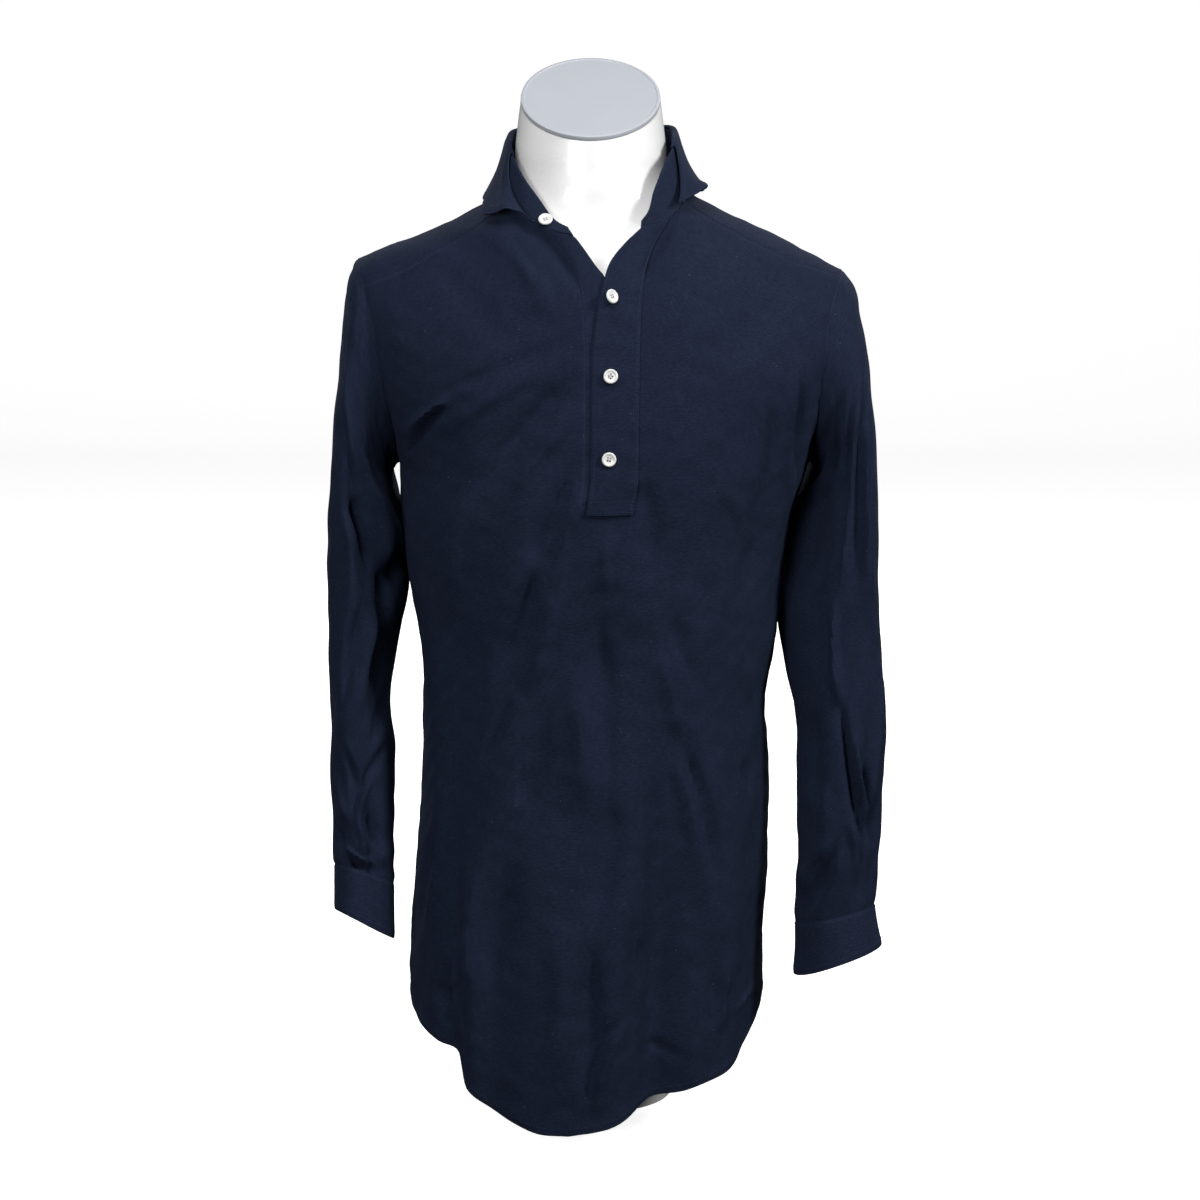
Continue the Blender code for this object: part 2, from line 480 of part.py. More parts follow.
def front_numbers(yoke):
    """Angle and rise over the front; columns 12 to 14 stop at the slot."""
    under_slot, under_free = placket_edges(UNDER_ROWS, NECK_SLOT_L, 0.0)
    over_slot, over_free = placket_edges(OVER_ROWS, NECK_SLOT_R, NECK_END)
    span = SIDE_COLS_L - YOKE_ROWS
    neck_l = neck_point(np.linspace(NECK_YOKE_L, NECK_SLOT_L, span + 1))
    top_l = np.concatenate([yoke[::-1, 0], neck_l[1:]])
    left = np.stack([-arm_angle(FRONT_RISES_L), np.array(FRONT_RISES_L)], -1)
    zero = np.zeros(SIDE_COLS_L + 1)
    bottom_l = np.stack([np.linspace(-90, under_slot[0, 0], SIDE_COLS_L + 1), zero], -1)
    upper_l = patch(bottom_l, top_l, left, under_slot)

    span = SIDE_COLS_R - YOKE_ROWS
    neck_r = neck_point(np.linspace(NECK_SLOT_R, NECK_YOKE_R, span + 1))
    top_r = np.concatenate([neck_r, yoke[1:, -1]])
    right = np.stack([arm_angle(FRONT_RISES_R), np.array(FRONT_RISES_R)], -1)
    zero = np.zeros(SIDE_COLS_R + 1)
    bottom_r = np.stack([np.linspace(over_slot[0, 0], 90, SIDE_COLS_R + 1), zero], -1)
    upper_r = patch(bottom_r, top_r, over_slot, right)

    middle = np.linspace(over_free[0, 0], over_slot[0, 0], 4)[:-1]
    line = np.concatenate([bottom_l[:, 0], middle, bottom_r[:, 0]])
    rows = []
    for share in HEM_TO_ARMPIT[:-1]:
        rows.append(np.stack([line, hem_rise(line, share)], -1))
    lower = np.array(rows)
    gap = np.full((len(upper_l), 3, 2), np.nan)
    gap[0] = np.stack([middle, np.zeros(3)], -1)
    upper = np.concatenate([upper_l, gap, upper_r], axis=1)
    return np.concatenate([lower, upper]), (under_slot, under_free, over_slot, over_free)


def back_numbers():
    outer = yoke_outer()[ARM_YOKE_COLS:ARM_YOKE_COLS + BACK_COLS + 1][::-1]
    top = np.stack([180 - outer[:, 0], 2 - outer[:, 1]], -1)
    rises = np.array(BACK_RISES)
    right = np.stack([180 - arm_angle(rises), rises], -1)
    left = np.stack([180 + arm_angle(rises), rises], -1)
    line = np.linspace(90, 270, BACK_COLS + 1)
    bottom = np.stack([line, np.zeros(BACK_COLS + 1)], -1)
    upper = patch(bottom, top, right, left)
    rows = [np.stack([line, hem_rise(line, s)], -1) for s in HEM_TO_ARMPIT[:-1]]
    return np.concatenate([np.array(rows), upper])


# ---------------------------------------------------------------- solids
def material(name, color, roughness, sheen=0.0):
    mat = bpy.data.materials.new(name)
    mat.use_nodes = True
    shader = mat.node_tree.nodes["Principled BSDF"]
    shader.inputs["Base Color"].default_value = (*color, 1)
    shader.inputs["Roughness"].default_value = roughness
    shader.inputs["Sheen Weight"].default_value = sheen
    mat.diffuse_color = (*color, 1)
    return mat


NAVY = (0.012, 0.016, 0.042)
WHITE = (0.86, 0.86, 0.85)
PEARL = (0.80, 0.80, 0.78)


def add_object(name, verts, faces, mat):
    mesh = bpy.data.meshes.new(name)
    mesh.from_pydata([tuple(float(c) for c in v) for v in verts], [], faces)
    mesh.validate()
    mesh.materials.append(mat)
    for poly in mesh.polygons:
        poly.use_smooth = True
    mesh.set_sharp_from_angle(angle=math.radians(42))
    obj = bpy.data.objects.new(name, mesh)
    bpy.data.collections["polo_shirt"].objects.link(obj)
    return obj


def grid_quads(rows, cols, keep=None, closed=False):
    quads = []
    width = cols if closed else cols - 1
    for r in range(rows - 1):
        for c in range(width):
            if keep is None or keep(r, c):
                d = (c + 1) % cols
                quads.append((r * cols + c, r * cols + d, (r + 1) * cols + d, (r + 1) * cols + c))
    return quads


def outline_edges(quads):
    seen = {}
    for q in quads:
        for k in range(4):
            seen[(q[k], q[(k + 1) % 4])] = q
    return [(a, b) for (a, b) in seen if (b, a) not in seen]


def thick_sheet(name, points, offsets, quads, thickness, mat, gap=SEAM_GAP):
    """Closed solid from a sheet of outer points, its wall along the offsets."""
    points = np.array(points, dtype=float)
    offsets = np.array(offsets, dtype=float)
    edges = outline_edges(quads)
    shift = np.zeros_like(points)
    count = np.zeros(len(points))
    for a, b in edges:
        normal = unit(offsets[a] + offsets[b])
        inward = unit(np.cross(normal, points[b] - points[a]))
        for v in (a, b):
            shift[v] += inward
            count[v] += 1
    for v in np.nonzero(count)[0]:
        mean = shift[v] / count[v]
        size = max(float(mean @ mean), 0.35)
        points[v] += mean / size * gap * 0.7
    used = sorted({v for q in quads for v in q})
    index = {v: i for i, v in enumerate(used)}
    n = len(used)
    outer = points[used]
    inner = outer - offsets[used] * thickness
    faces = [tuple(index[v] for v in q) for q in quads]
    faces += [tuple(index[v] + n for v in reversed(q)) for q in quads]
    faces += [(index[b], index[a], index[a] + n, index[b] + n) for a, b in edges]
    return add_object(name, np.concatenate([outer, inner]), faces, mat)


def front_keep(r, c):
    return not (r >= SLOT_ROW and 11 <= c < 15)


def grid_normals(points, closed=False):
    """Outward normals of a rows-by-columns grid."""
    if closed:
        du = np.roll(points, -1, axis=1) - np.roll(points, 1, axis=1)
    else:
        du = np.gradient(points, axis=1)
    dv = np.gradient(points, axis=0)
    return unit(np.cross(du, dv))


# ---------------------------------------------------------------- sleeves
def ring(row, turns, arm=None, base=None):
    """One ring of a sleeve at the given turns (degrees)."""
    ux, uz, ox, oz, yc, front, back, tilt, share, skew = row
    inner = np.array([ux, yc + skew, uz])
    outer = np.array([ox, yc - skew, oz])
    centre = (inner + outer) / 2
    e1 = unit(outer - inner)
    r1 = np.linalg.norm(outer - inner) / 2
    lean = math.radians(tilt)
    e2 = np.array([0.0, -math.cos(lean), math.sin(lean)])
    c = np.cos(np.radians(turns))
    s = np.sin(np.radians(turns))
    depth = np.where(s > 0, front, back)
    c = np.sign(c) * np.abs(c) ** 0.9
    s = np.sign(s) * np.abs(s) ** 0.9
    points = centre - np.outer(c * r1, e1) + np.outer(s * depth, e2)
    if arm is not None and share > 0:
        points = points + share * (arm - base)
    return points


def sleeve_grid(rows, cuff_rows, folds, arm, steps):
    """Rings from the armhole to the cuff seam, and the cuff's rings."""
    chord = np.linalg.norm(np.roll(arm, -1, axis=0) - arm, axis=1)
    turns = 360 * np.concatenate([[0], np.cumsum(chord)[:-1]]) / chord.sum()
    base = ring(rows[0], turns)
    data = np.array(rows, dtype=float)
    place = np.arange(len(rows)) / (len(rows) - 1)
    share = np.linspace(0, 1, steps + 1)
    grid = []
    for s in share:
        row = [float(smooth(s, place, data[:, k])) for k in range(10)]
        row[8] = min(max(row[8], 0.0), 1.0)
        grid.append(ring(row, turns, arm, base))
    grid[0] = arm.copy()
    grid = np.array(grid)
    centre = grid.mean(axis=1, keepdims=True)
    axis = unit(np.gradient(centre[:, 0], axis=0))[:, None]
    tangent = np.roll(grid, -1, axis=1) - np.roll(grid, 1, axis=1)
    out = unit(np.cross(tangent, axis))
    flip = np.sign(np.sum(out * (grid - centre), axis=-1, keepdims=True).mean())
    out = out * flip
    round_it = np.linalg.norm(np.roll(grid, -1, axis=1) - grid, axis=2).sum(axis=1)
    for t1, s1, t2, s2, width, height in folds:
        line = np.interp(share, (s1, s2), (t1, t2))
        away = (turns[None] - line[:, None] + 180) % 360 - 180
        across = away / 360 * round_it[:, None] / width
        mid = (s1 + s2) / 2
        along = fade(share, s1, s1 + 0.5 * (mid - s1)) * fade(share, s2, s2 - 0.5 * (s2 - mid))
        grid = grid + out * (height * np.exp(-across**2) * along[:, None])[..., None]
    cuff = np.array([ring(r, turns) for r in cuff_rows])
    cuff[0] = grid[-1]
    return grid, cuff


def arm_numbers(rises, side, yoke_front):
    """Armhole loop from the armpit up the front, over and down the back."""
    front = np.array(rises)
    over = np.linspace(yoke_front, YOKE_BACK, ARM_YOKE_COLS + 1)[1:-1]
    back = 2 - np.array(BACK_RISES)[::-1][:-1]
    rise = np.concatenate([front, over, back])
    return np.stack([side * arm_angle(rise), rise], -1)


def mitre(a, b):
    """Shared wall direction where two walls meet."""
    dot = np.sum(a * b, axis=-1, keepdims=True)
    exact = (a + b) / (1 + np.maximum(dot, 0.25))
    return np.where(dot > 0.25, exact, unit(a + b))


# ---------------------------------------------------------------- collar
def collar_curves(stations, seam):
    """Seam, top and leaf edge of the collar at these stations."""
    s = column(COLLAR_ROWS, 0)
    top = np.stack([smooth(stations, s, column(COLLAR_ROWS, k)) for k in (1, 2, 3)], -1)
    edge = np.stack([smooth(stations, s, column(COLLAR_ROWS, k)) for k in (4, 5, 6)], -1)
    return seam, top, edge


def bezier(a, b, c, t):
    return a * (1 - t) ** 2 + b * 2 * t * (1 - t) + c * t**2


# ---------------------------------------------------------------- form
def form_rings(segments):
    rings = []
    angles = np.linspace(0, 360, segments, endpoint=False)
    s = np.sin(np.radians(angles))
    c = np.cos(np.radians(angles))

    def oval(z, half, front, back, lean, power, x0):
        wide = np.sign(s) * np.abs(s) ** power
        deep = np.sign(c) * np.abs(c) ** power
        x = x0 + half * wide
        reach = np.where(deep > 0, front, back) * deep
        y = FORM_Y - reach
        return np.stack([x, y, z - reach * math.tan(math.radians(lean))], -1)

    for z, half, depth in PLINTH_ROWS:
        rings.append(oval(z, half, depth, depth, 0, 1.0, FORM_X))
    data = np.array(FORM_ROWS, dtype=float)
    for z in np.concatenate([data[:, 0]]):
        row = [float(table(z, FORM_ROWS, k)) for k in (1, 2, 3, 4)]
        blend = fade(z, 0.60, 0.80)
        x0 = FORM_X + 0.008 * (1 - fade(z, 0.72, 0.80)) * fade(z, 0.2, 0.5)
        rings.append(oval(z, row[0], row[1], row[2], row[3], 0.88 + 0.12 * blend, x0))
    return rings


def capped_rings(name, rings, mat):
    rings = np.array(rings)
    count, cols = rings.shape[:2]
    quads = grid_quads(count, cols, closed=True)
    verts = rings.reshape(-1, 3)
    faces = list(quads)
    faces.append(tuple(reversed(range(cols))))
    faces.append(tuple(range((count - 1) * cols, count * cols)))
    return add_object(name, verts, faces, mat)


def button(name, centre, normal, up, mat):
    """Shirt button turned from its profile: a disc with a raised rim and a dished middle."""
    profile = ((0.0, 0.0018), (0.0037, 0.0018), (0.0044, BUTTON_H), (0.0054, BUTTON_H),
               (BUTTON_R, 0.0013), (0.0054, 0.0005), (0.0046, 0.0), (0.0, 0.0))
    mesh = bpy.data.meshes.new(name)
    points = [(radius, 0.0, height) for radius, height in profile]
    mesh.from_pydata(points, [(k, k + 1) for k in range(len(points) - 1)], [])
    mesh.materials.append(mat)
    obj = bpy.data.objects.new(name, mesh)
    bpy.data.collections["polo_shirt"].objects.link(obj)
    screw = obj.modifiers.new("turn", "SCREW")
    screw.axis = "Z"
    screw.steps = BUTTON_STEPS
    screw.render_steps = BUTTON_STEPS
    screw.use_merge_vertices = True
    screw.merge_threshold = 0.00005
    screw.use_smooth_shade = True
    normal = unit(np.array(normal, dtype=float))
    side = unit(np.cross(up, normal))
    up = np.cross(normal, side)
    turn = Matrix((side, up, normal)).transposed().to_4x4()
    obj.matrix_world = Matrix.Translation(Vector(centre)) @ turn
    return obj


# ---------------------------------------------------------------- build
def main():
    for obj in list(bpy.data.objects):
        bpy.data.objects.remove(obj, do_unlink=True)
    group = bpy.data.collections.new("polo_shirt")
    bpy.context.scene.collection.children.link(group)

    def navy(node):
        return material(node + "_cloth", NAVY, 0.92, 0.25)

    yoke = yoke_numbers()
    front, placket = front_numbers(yoke)
    back = back_numbers()
    under_slot, under_free, over_slot, over_free = placket

    # Surfaces and wall directions of the body panels
    front_p = cloth(front[..., 0], front[..., 1])
    front_n = cloth_normal(front[..., 0], front[..., 1])
    back_p = cloth(back[..., 0], back[..., 1])
    back_n = cloth_normal(back[..., 0], back[..., 1])
    yoke_p = cloth(yoke[..., 0], yoke[..., 1])
    yoke_n = cloth_normal(yoke[..., 0], yoke[..., 1])

    # Armhole loops and sleeves
    sleeves = {}
    for side, rises, rows, cuffs, folds, end in (
            (-1, FRONT_RISES_L, SLEEVE_LEFT_ROWS, CUFF_LEFT_ROWS, SLEEVE_LEFT_FOLDS, YOKE_FRONT_L),
            (1, FRONT_RISES_R, SLEEVE_RIGHT_ROWS, CUFF_RIGHT_ROWS, SLEEVE_RIGHT_FOLDS, YOKE_FRONT_R)):
        loop = arm_numbers(rises, side, end)
        arm_p = cloth(loop[:, 0], loop[:, 1])
        arm_n = cloth_normal(loop[:, 0], loop[:, 1])
        grid, cuff = sleeve_grid(rows, cuffs, folds, arm_p, SLEEVE_STEPS)
        if side > 0:
            grid = grid[:, ::-1]
            cuff = cuff[:, ::-1]
            arm_n = arm_n[::-1]
        tube = np.concatenate([grid, cuff[1:]])
        normal = grid_normals(tube, closed=True)
        ahead = unit(np.cross(np.roll(grid[0], -1, 0) - np.roll(grid[0], 1, 0), grid[1] - grid[0]))
        shared = mitre(arm_n, ahead)
        normal[0] = shared
        sleeves[side] = (grid, cuff, normal, shared[::-1] if side > 0 else shared)

    n_front = len(FRONT_RISES_L) - 1
    low = len(HEM_TO_ARMPIT) - 1
    for side in (-1, 1):
        shared = sleeves[side][3]
        col = 0 if side < 0 else front_n.shape[1] - 1
        back_col = -1 if side < 0 else 0
        front_n[low:, col] = shared[:n_front + 1]
        top = shared[n_front:n_front + ARM_YOKE_COLS + 1]
        if side < 0:
            yoke_n[-1, :ARM_YOKE_COLS + 1] = top
        else:
            yoke_n[-1, -ARM_YOKE_COLS - 1:] = top[::-1]
        tail = np.concatenate([shared[:1], shared[n_front + ARM_YOKE_COLS:][::-1]])
        back_n[low:, back_col] = tail

    # Collar stand: its foot shares wall directions with the panels it bends from
    stations = np.concatenate([
        np.linspace(0, NECK_SLOT_L, 4)[:-1],
        np.linspace(NECK_SLOT_L, NECK_YOKE_L, SIDE_COLS_L - YOKE_ROWS + 1)[:-1],
        yoke_stations(),
        np.linspace(NECK_YOKE_R, NECK_SLOT_R, SIDE_COLS_R - YOKE_ROWS + 1)[1:],
        np.linspace(NECK_SLOT_R, NECK_END, 4)[1:]])
    numbers = neck_point(stations)
    seam, top, edge = collar_curves(stations, cloth(numbers[:, 0], numbers[:, 1]))
    lift = unit(top - seam)
    seam = seam + lift * 0.0002
    w = np.linspace(0, 1, 4)[:, None, None]
    band = seam[None] * (1 - w) + top[None] * w
    band_n = -grid_normals(band)
    neck_n = cloth_normal(numbers[:, 0], numbers[:, 1])
    bends_back = np.sum(lift * neck_n, axis=-1, keepdims=True) < 0.15
    joined = mitre(neck_n, band_n[0])
    neck_n = np.where(bends_back, joined, neck_n)
    band_n[0] = np.where(bends_back, joined, band_n[0])
    first = 3
    second = first + SIDE_COLS_L - YOKE_ROWS
    third = second + yoke_n.shape[1] - 1
    fourth = third + SIDE_COLS_R - YOKE_ROWS
    front_n[-1, YOKE_ROWS:SIDE_COLS_L + 1] = neck_n[first:second + 1][::-1]
    front_n[-1, 15:15 + fourth - third + 1] = neck_n[third:fourth + 1][::-1]
    yoke_n[0] = neck_n[second:third + 1]
    under_top = neck_n[:first + 1][::-1]
    over_top = neck_n[fourth:][::-1]

    # Front, back and yoke
    rows, cols = front.shape[:2]
    quads = grid_quads(rows, cols, front_keep)
    thick_sheet("front", np.nan_to_num(front_p.reshape(-1, 3)),
                np.nan_to_num(front_n.reshape(-1, 3)), quads, CLOTH_T, navy("front"))
    rows, cols = back.shape[:2]
    thick_sheet("back", back_p.reshape(-1, 3), back_n.reshape(-1, 3),
                grid_quads(rows, cols), CLOTH_T, navy("back"))
    rows, cols = yoke.shape[:2]
    thick_sheet("yoke", yoke_p.reshape(-1, 3), yoke_n.reshape(-1, 3),
                grid_quads(rows, cols), CLOTH_T, navy("yoke"))

    # Placket strips
    line = np.array([under_slot[0, 0], under_free[0, 0]])
    start = np.stack([line, hem_rise(line, HEM_TO_ARMPIT[SLOT_ROW])], -1)
    slot = np.concatenate([start[:1], under_slot])
    free = np.concatenate([start[1:], under_free])
    w = np.linspace(0, 1, 4)[None, :, None]
    strip = slot[:, None] * (1 - w) + free[:, None] * w
    strip[-1] = neck_point(np.linspace(NECK_SLOT_L, 0, 4))
    p = cloth(strip[..., 0], strip[..., 1])
    n = cloth_normal(strip[..., 0], strip[..., 1])
    n[-1] = under_top
    sink = np.array([0.0, 0.0005, 0.0009, 0.0009])[None, :, None]
    p = p - n * sink
    thick_sheet("placket_under", p.reshape(-1, 3), n.reshape(-1, 3),
                grid_quads(*strip.shape[:2]), STRIP_T, navy("placket_under"))

    line = np.array([over_slot[0, 0], over_free[0, 0]])
    start = np.stack([line, hem_rise(line, HEM_TO_ARMPIT[SLOT_ROW])], -1)
    slot = np.concatenate([start[:1], over_slot])
    free = np.concatenate([start[1:], over_free])
    strip = free[:, None] * (1 - w) + slot[:, None] * w
    strip[-1] = neck_point(np.linspace(NECK_END, NECK_SLOT_R, 4))
    p = cloth(strip[..., 0], strip[..., 1])
    n = cloth_normal(strip[..., 0], strip[..., 1])
    n[-1] = over_top
    edge_p = front_p[SLOT_ROW:, 15]
    next_p = front_p[SLOT_ROW:, 16]
    reach = 0.005 / np.linalg.norm(next_p - edge_p, axis=-1, keepdims=True)
    side_p = edge_p + (next_p - edge_p) * reach
    side_n = unit(front_n[SLOT_ROW:, 15] * (1 - reach) + front_n[SLOT_ROW:, 16] * reach)
    p = np.concatenate([p, side_p[:, None]], axis=1)
    n = np.concatenate([n, side_n[:, None]], axis=1)
    below_p = front_p[SLOT_ROW - 1, 12:17]
    row_p = front_p[SLOT_ROW, 12:17]
    drop = 0.008 / np.linalg.norm(below_p - row_p, axis=-1, keepdims=True)
    foot = row_p + (below_p - row_p) * drop
    foot_n = unit(front_n[SLOT_ROW, 12:17] * (1 - drop) + front_n[SLOT_ROW - 1, 12:17] * drop)
    foot[-1] = foot[-2] + (foot[-1] - foot[-2]) * reach[0]
    foot_n[-1] = unit(foot_n[-2] * (1 - reach[0]) + foot_n[-1] * reach[0])
    p = np.concatenate([foot[None], p])
    n = np.concatenate([foot_n[None], n])
    over_p = p + n * (STRIP_T + LAY_GAP)
    thick_sheet("placket_over", over_p.reshape(-1, 3), n.reshape(-1, 3),
                grid_quads(*p.shape[:2]), STRIP_T, navy("placket_over"))

    # Sleeves and cuffs
    for side, word in ((-1, "left"), (1, "right")):
        grid, cuff, normal, _ = sleeves[side]
        rows, cols = grid.shape[:2]
        quads = grid_quads(rows, cols, closed=True)
        thick_sheet("sleeve_" + word, grid.reshape(-1, 3), normal[:rows].reshape(-1, 3),
                    quads, CLOTH_T, navy("sleeve_" + word))
        rows, cols = cuff.shape[:2]
        quads = grid_quads(rows, cols, closed=True)
        thick_sheet("cuff_" + word, cuff.reshape(-1, 3), normal[-rows:].reshape(-1, 3),
                    quads, CUFF_T, navy("cuff_" + word))

    # Collar stand and leaf
    quads = [tuple(reversed(q)) for q in grid_quads(*band.shape[:2])]
    thick_sheet("collar_band", band.reshape(-1, 3), band_n.reshape(-1, 3),
                quads, BAND_T, navy("collar_band"))

    inside = (stations > LEAF_START) & (stations < LEAF_END)
    spots = np.concatenate([[LEAF_START], stations[inside], [LEAF_END]])
    numbers = neck_point(spots)
    low_p, top_p, edge_p = collar_curves(spots, cloth(numbers[:, 0], numbers[:, 1]))
    up = unit(top_p - low_p)
    along = np.gradient(top_p, axis=0)
    out = unit(np.cross(up, along))
    half = LEAF_T / 2
    lift = SEAM_GAP + 0.0003 + half
    crest = [top_p - out * 0.0019 + up * lift,
             top_p - out * 0.0003 + up * (lift + 0.0006),
             top_p + out * (lift + 0.0002) + up * (lift - 0.0003),
             top_p + out * (lift + 0.0010) - up * 0.0030]
    pull = crest[3] + out * 0.0008 - up * 0.026
    fall = [bezier(crest[3], pull, edge_p, t) for t in (0.22, 0.45, 0.70, 1.0)]
    leaf = np.array(crest + fall)
    leaf_n = grid_normals(leaf)
    thick_sheet("collar_leaf", (leaf + leaf_n * half).reshape(-1, 3), leaf_n.reshape(-1, 3),
                grid_quads(*leaf.shape[:2]), LEAF_T, navy("collar_leaf"))

    # Buttons
    for name, x, z, turn, lift in BUTTON_ROWS:
        a, r = locate(x, z)
        spot = cloth(a, r)
        normal = cloth_normal(a, r)
        spot = spot + normal * (STRIP_T + LAY_GAP + lift)
        angle = math.radians(turn)
        turned = np.array([normal[0] * math.cos(angle) - normal[1] * math.sin(angle),
                           normal[0] * math.sin(angle) + normal[1] * math.cos(angle),
                           normal[2]])
        button(name, spot, turned, np.array([0.0, 0.0, 1.0]), material(name + "_pearl", PEARL, 0.3))
    station, share = BAND_BUTTON
    k = int(np.argmin(np.abs(stations - station)))
    spot = band[0, k] * (1 - share) + band[-1, k] * share
    normal = unit(band_n[:, k].mean(axis=0))
    button("button_band", spot + normal * 0.0010, normal, np.array([0.0, 0.0, 1.0]),
           material("button_band_pearl", PEARL, 0.3))

    # Torso form and its flat top
    rings = form_rings(36)
    capped_rings("torso_form", rings, material("torso_form_white", WHITE, 0.35))
    top_ring = rings[-1]
    centre = top_ring.mean(axis=0)
    normal = unit(np.cross(top_ring[9] - centre, top_ring[0] - centre))
    normal = normal if normal[2] > 0 else -normal
    base = top_ring + normal * SEAM_GAP
    inset = centre + (top_ring - centre) * 0.975
    cap = [inset + normal * SEAM_GAP, base + normal * 0.0006,
           base + normal * (CAP_T - 0.0008), inset + normal * CAP_T]
    capped_rings("neck_cap", cap, material("neck_cap_grey", (0.74, 0.75, 0.78), 0.4))


main()
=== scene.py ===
# Navy long-sleeved polo shirt on a white limbless torso form. Metres, +Z up, the front faces -Y.
# Left and right in names are the viewer's.
import math

import bpy
import numpy as np
from mathutils import Matrix, Vector


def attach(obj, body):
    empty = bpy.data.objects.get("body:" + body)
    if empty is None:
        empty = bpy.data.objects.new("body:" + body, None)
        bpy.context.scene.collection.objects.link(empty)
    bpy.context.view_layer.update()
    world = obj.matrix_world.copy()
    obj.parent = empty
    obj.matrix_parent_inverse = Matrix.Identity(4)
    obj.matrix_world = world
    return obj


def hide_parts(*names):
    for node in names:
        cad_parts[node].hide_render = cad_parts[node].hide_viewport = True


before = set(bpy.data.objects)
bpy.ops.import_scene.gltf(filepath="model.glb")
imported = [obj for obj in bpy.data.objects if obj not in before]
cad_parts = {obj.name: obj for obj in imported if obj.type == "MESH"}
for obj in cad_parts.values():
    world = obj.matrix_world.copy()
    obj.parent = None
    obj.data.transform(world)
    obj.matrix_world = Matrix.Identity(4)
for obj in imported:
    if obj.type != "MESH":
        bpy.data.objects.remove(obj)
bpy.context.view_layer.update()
print("frame loaded:", len(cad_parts), "nodes")

# ---- what the whole shirt shares -------------------------------------------------
shirt = {
    "wall": 0.0015,         # knitted cloth
    "seamGap": 0.0,         # sewn edges meet
    "edgeDrop": 0.0005,    # how far the cloth dips at its edges and seams
    "rowStep": 8,           # finer rows and columns for each one of the cut
    "colStep": 6,
    "ripple": 0.0004,       # height of the soft unevenness of the knit
    "crease": 2.8,          # strength of the creases below
}

# horizontal sections below the armpit: height, centre x, half width, front, back
bodyRows = (
    (-0.020, -0.0055, 0.1525, 0.150, 0.127),
    (0.095, -0.0055, 0.1525, 0.148, 0.125),
    (0.155, -0.0045, 0.1515, 0.144, 0.124),
    (0.210, -0.0010, 0.1510, 0.140, 0.122),
    (0.280, 0.0025, 0.1485, 0.134, 0.118),
    (0.360, 0.0020, 0.1455, 0.128, 0.112),
    (0.416, 0.0050, 0.1515, 0.126, 0.109),
    (0.458, 0.0030, 0.1570, 0.128, 0.108),
    (0.507, 0.0035, 0.1625, 0.130, 0.109),
    (0.555, 0.0100, 0.1700, 0.132, 0.110),
)
# above the armpit: share of the rise to the shoulder line, centre x, half width
chestRows = (
    (0.00, 0.0100, 0.1700), (0.15, 0.0095, 0.1770), (0.40, 0.0080, 0.1960),
    (0.70, 0.0070, 0.2130), (1.00, 0.0060, 0.2240),
)
# shoulder line: x, height
shoulderRows = (
    (-0.240, 0.6960), (-0.2000, 0.7190), (-0.170, 0.7325), (-0.141, 0.7430),
    (-0.0835, 0.7690), (-0.050, 0.7890), (0.000, 0.8120), (0.050, 0.7920),
    (0.0885, 0.7715), (0.138, 0.7475), (0.1876, 0.7235), (0.2059, 0.7135), (0.240, 0.6900),
)
# hem: angle round the body from the front centre, height
hemRows = (
    (-90, 0.094), (-75, 0.089), (-60, 0.084), (-50, 0.080), (-43, 0.074),
    (-36, 0.052), (-26, 0.036), (-13, 0.021), (-5, 0.017), (4, 0.024),
    (12, 0.035), (18, 0.040), (29, 0.047), (41, 0.056), (53, 0.067),
    (66, 0.083), (90, 0.097), (112, 0.075), (130, 0.048), (152, 0.030),
    (180, 0.024), (208, 0.030), (230, 0.047), (250, 0.074), (270, 0.094),
)
# armhole: rise (0 armpit, 1 shoulder line), angle from the centre line
armholeRows = (
    (0.000, 90.0), (0.025, 82.0), (0.070, 74.0), (0.130, 68.0), (0.200, 63.5),
    (0.300, 60.0), (0.450, 57.5), (0.630, 58.0), (0.800, 60.0), (1.000, 61.5),
)
# neckline stations from the left front end round the back: x, rise
neckRows = (
    (-0.0145, 0.513), (-0.030, 0.554), (-0.047, 0.635), (-0.060, 0.724),
    (-0.071, 0.800), (-0.0765, 0.920), (-0.0770, 1.040), (-0.0720, 1.130),
    (-0.0580, 1.220), (-0.0360, 1.290), (0.0000, 1.330), (0.0380, 1.290),
    (0.0600, 1.220), (0.0740, 1.130), (0.0795, 1.040), (0.0790, 0.920),
    (0.0745, 0.810), (0.0690, 0.725), (0.0610, 0.655), (0.0510, 0.610),
    (0.0395, 0.573),
)
stationsAt = {"slotLeft": 2.0, "yokeLeft": 4.0, "yokeRight": 16.0, "slotRight": 18.0, "end": 20.0}
# back yoke seam: angle from the back centre, rise past the shoulder line
yokeBackRows = ((0, 1.667), (13, 1.633), (30, 1.544), (52, 1.432), (60, 1.405))
yokeCut = {"frontLeft": 0.630, "frontRight": 0.840, "back": 1.411, "bowLeft": -0.045, "bowRight": -0.090}
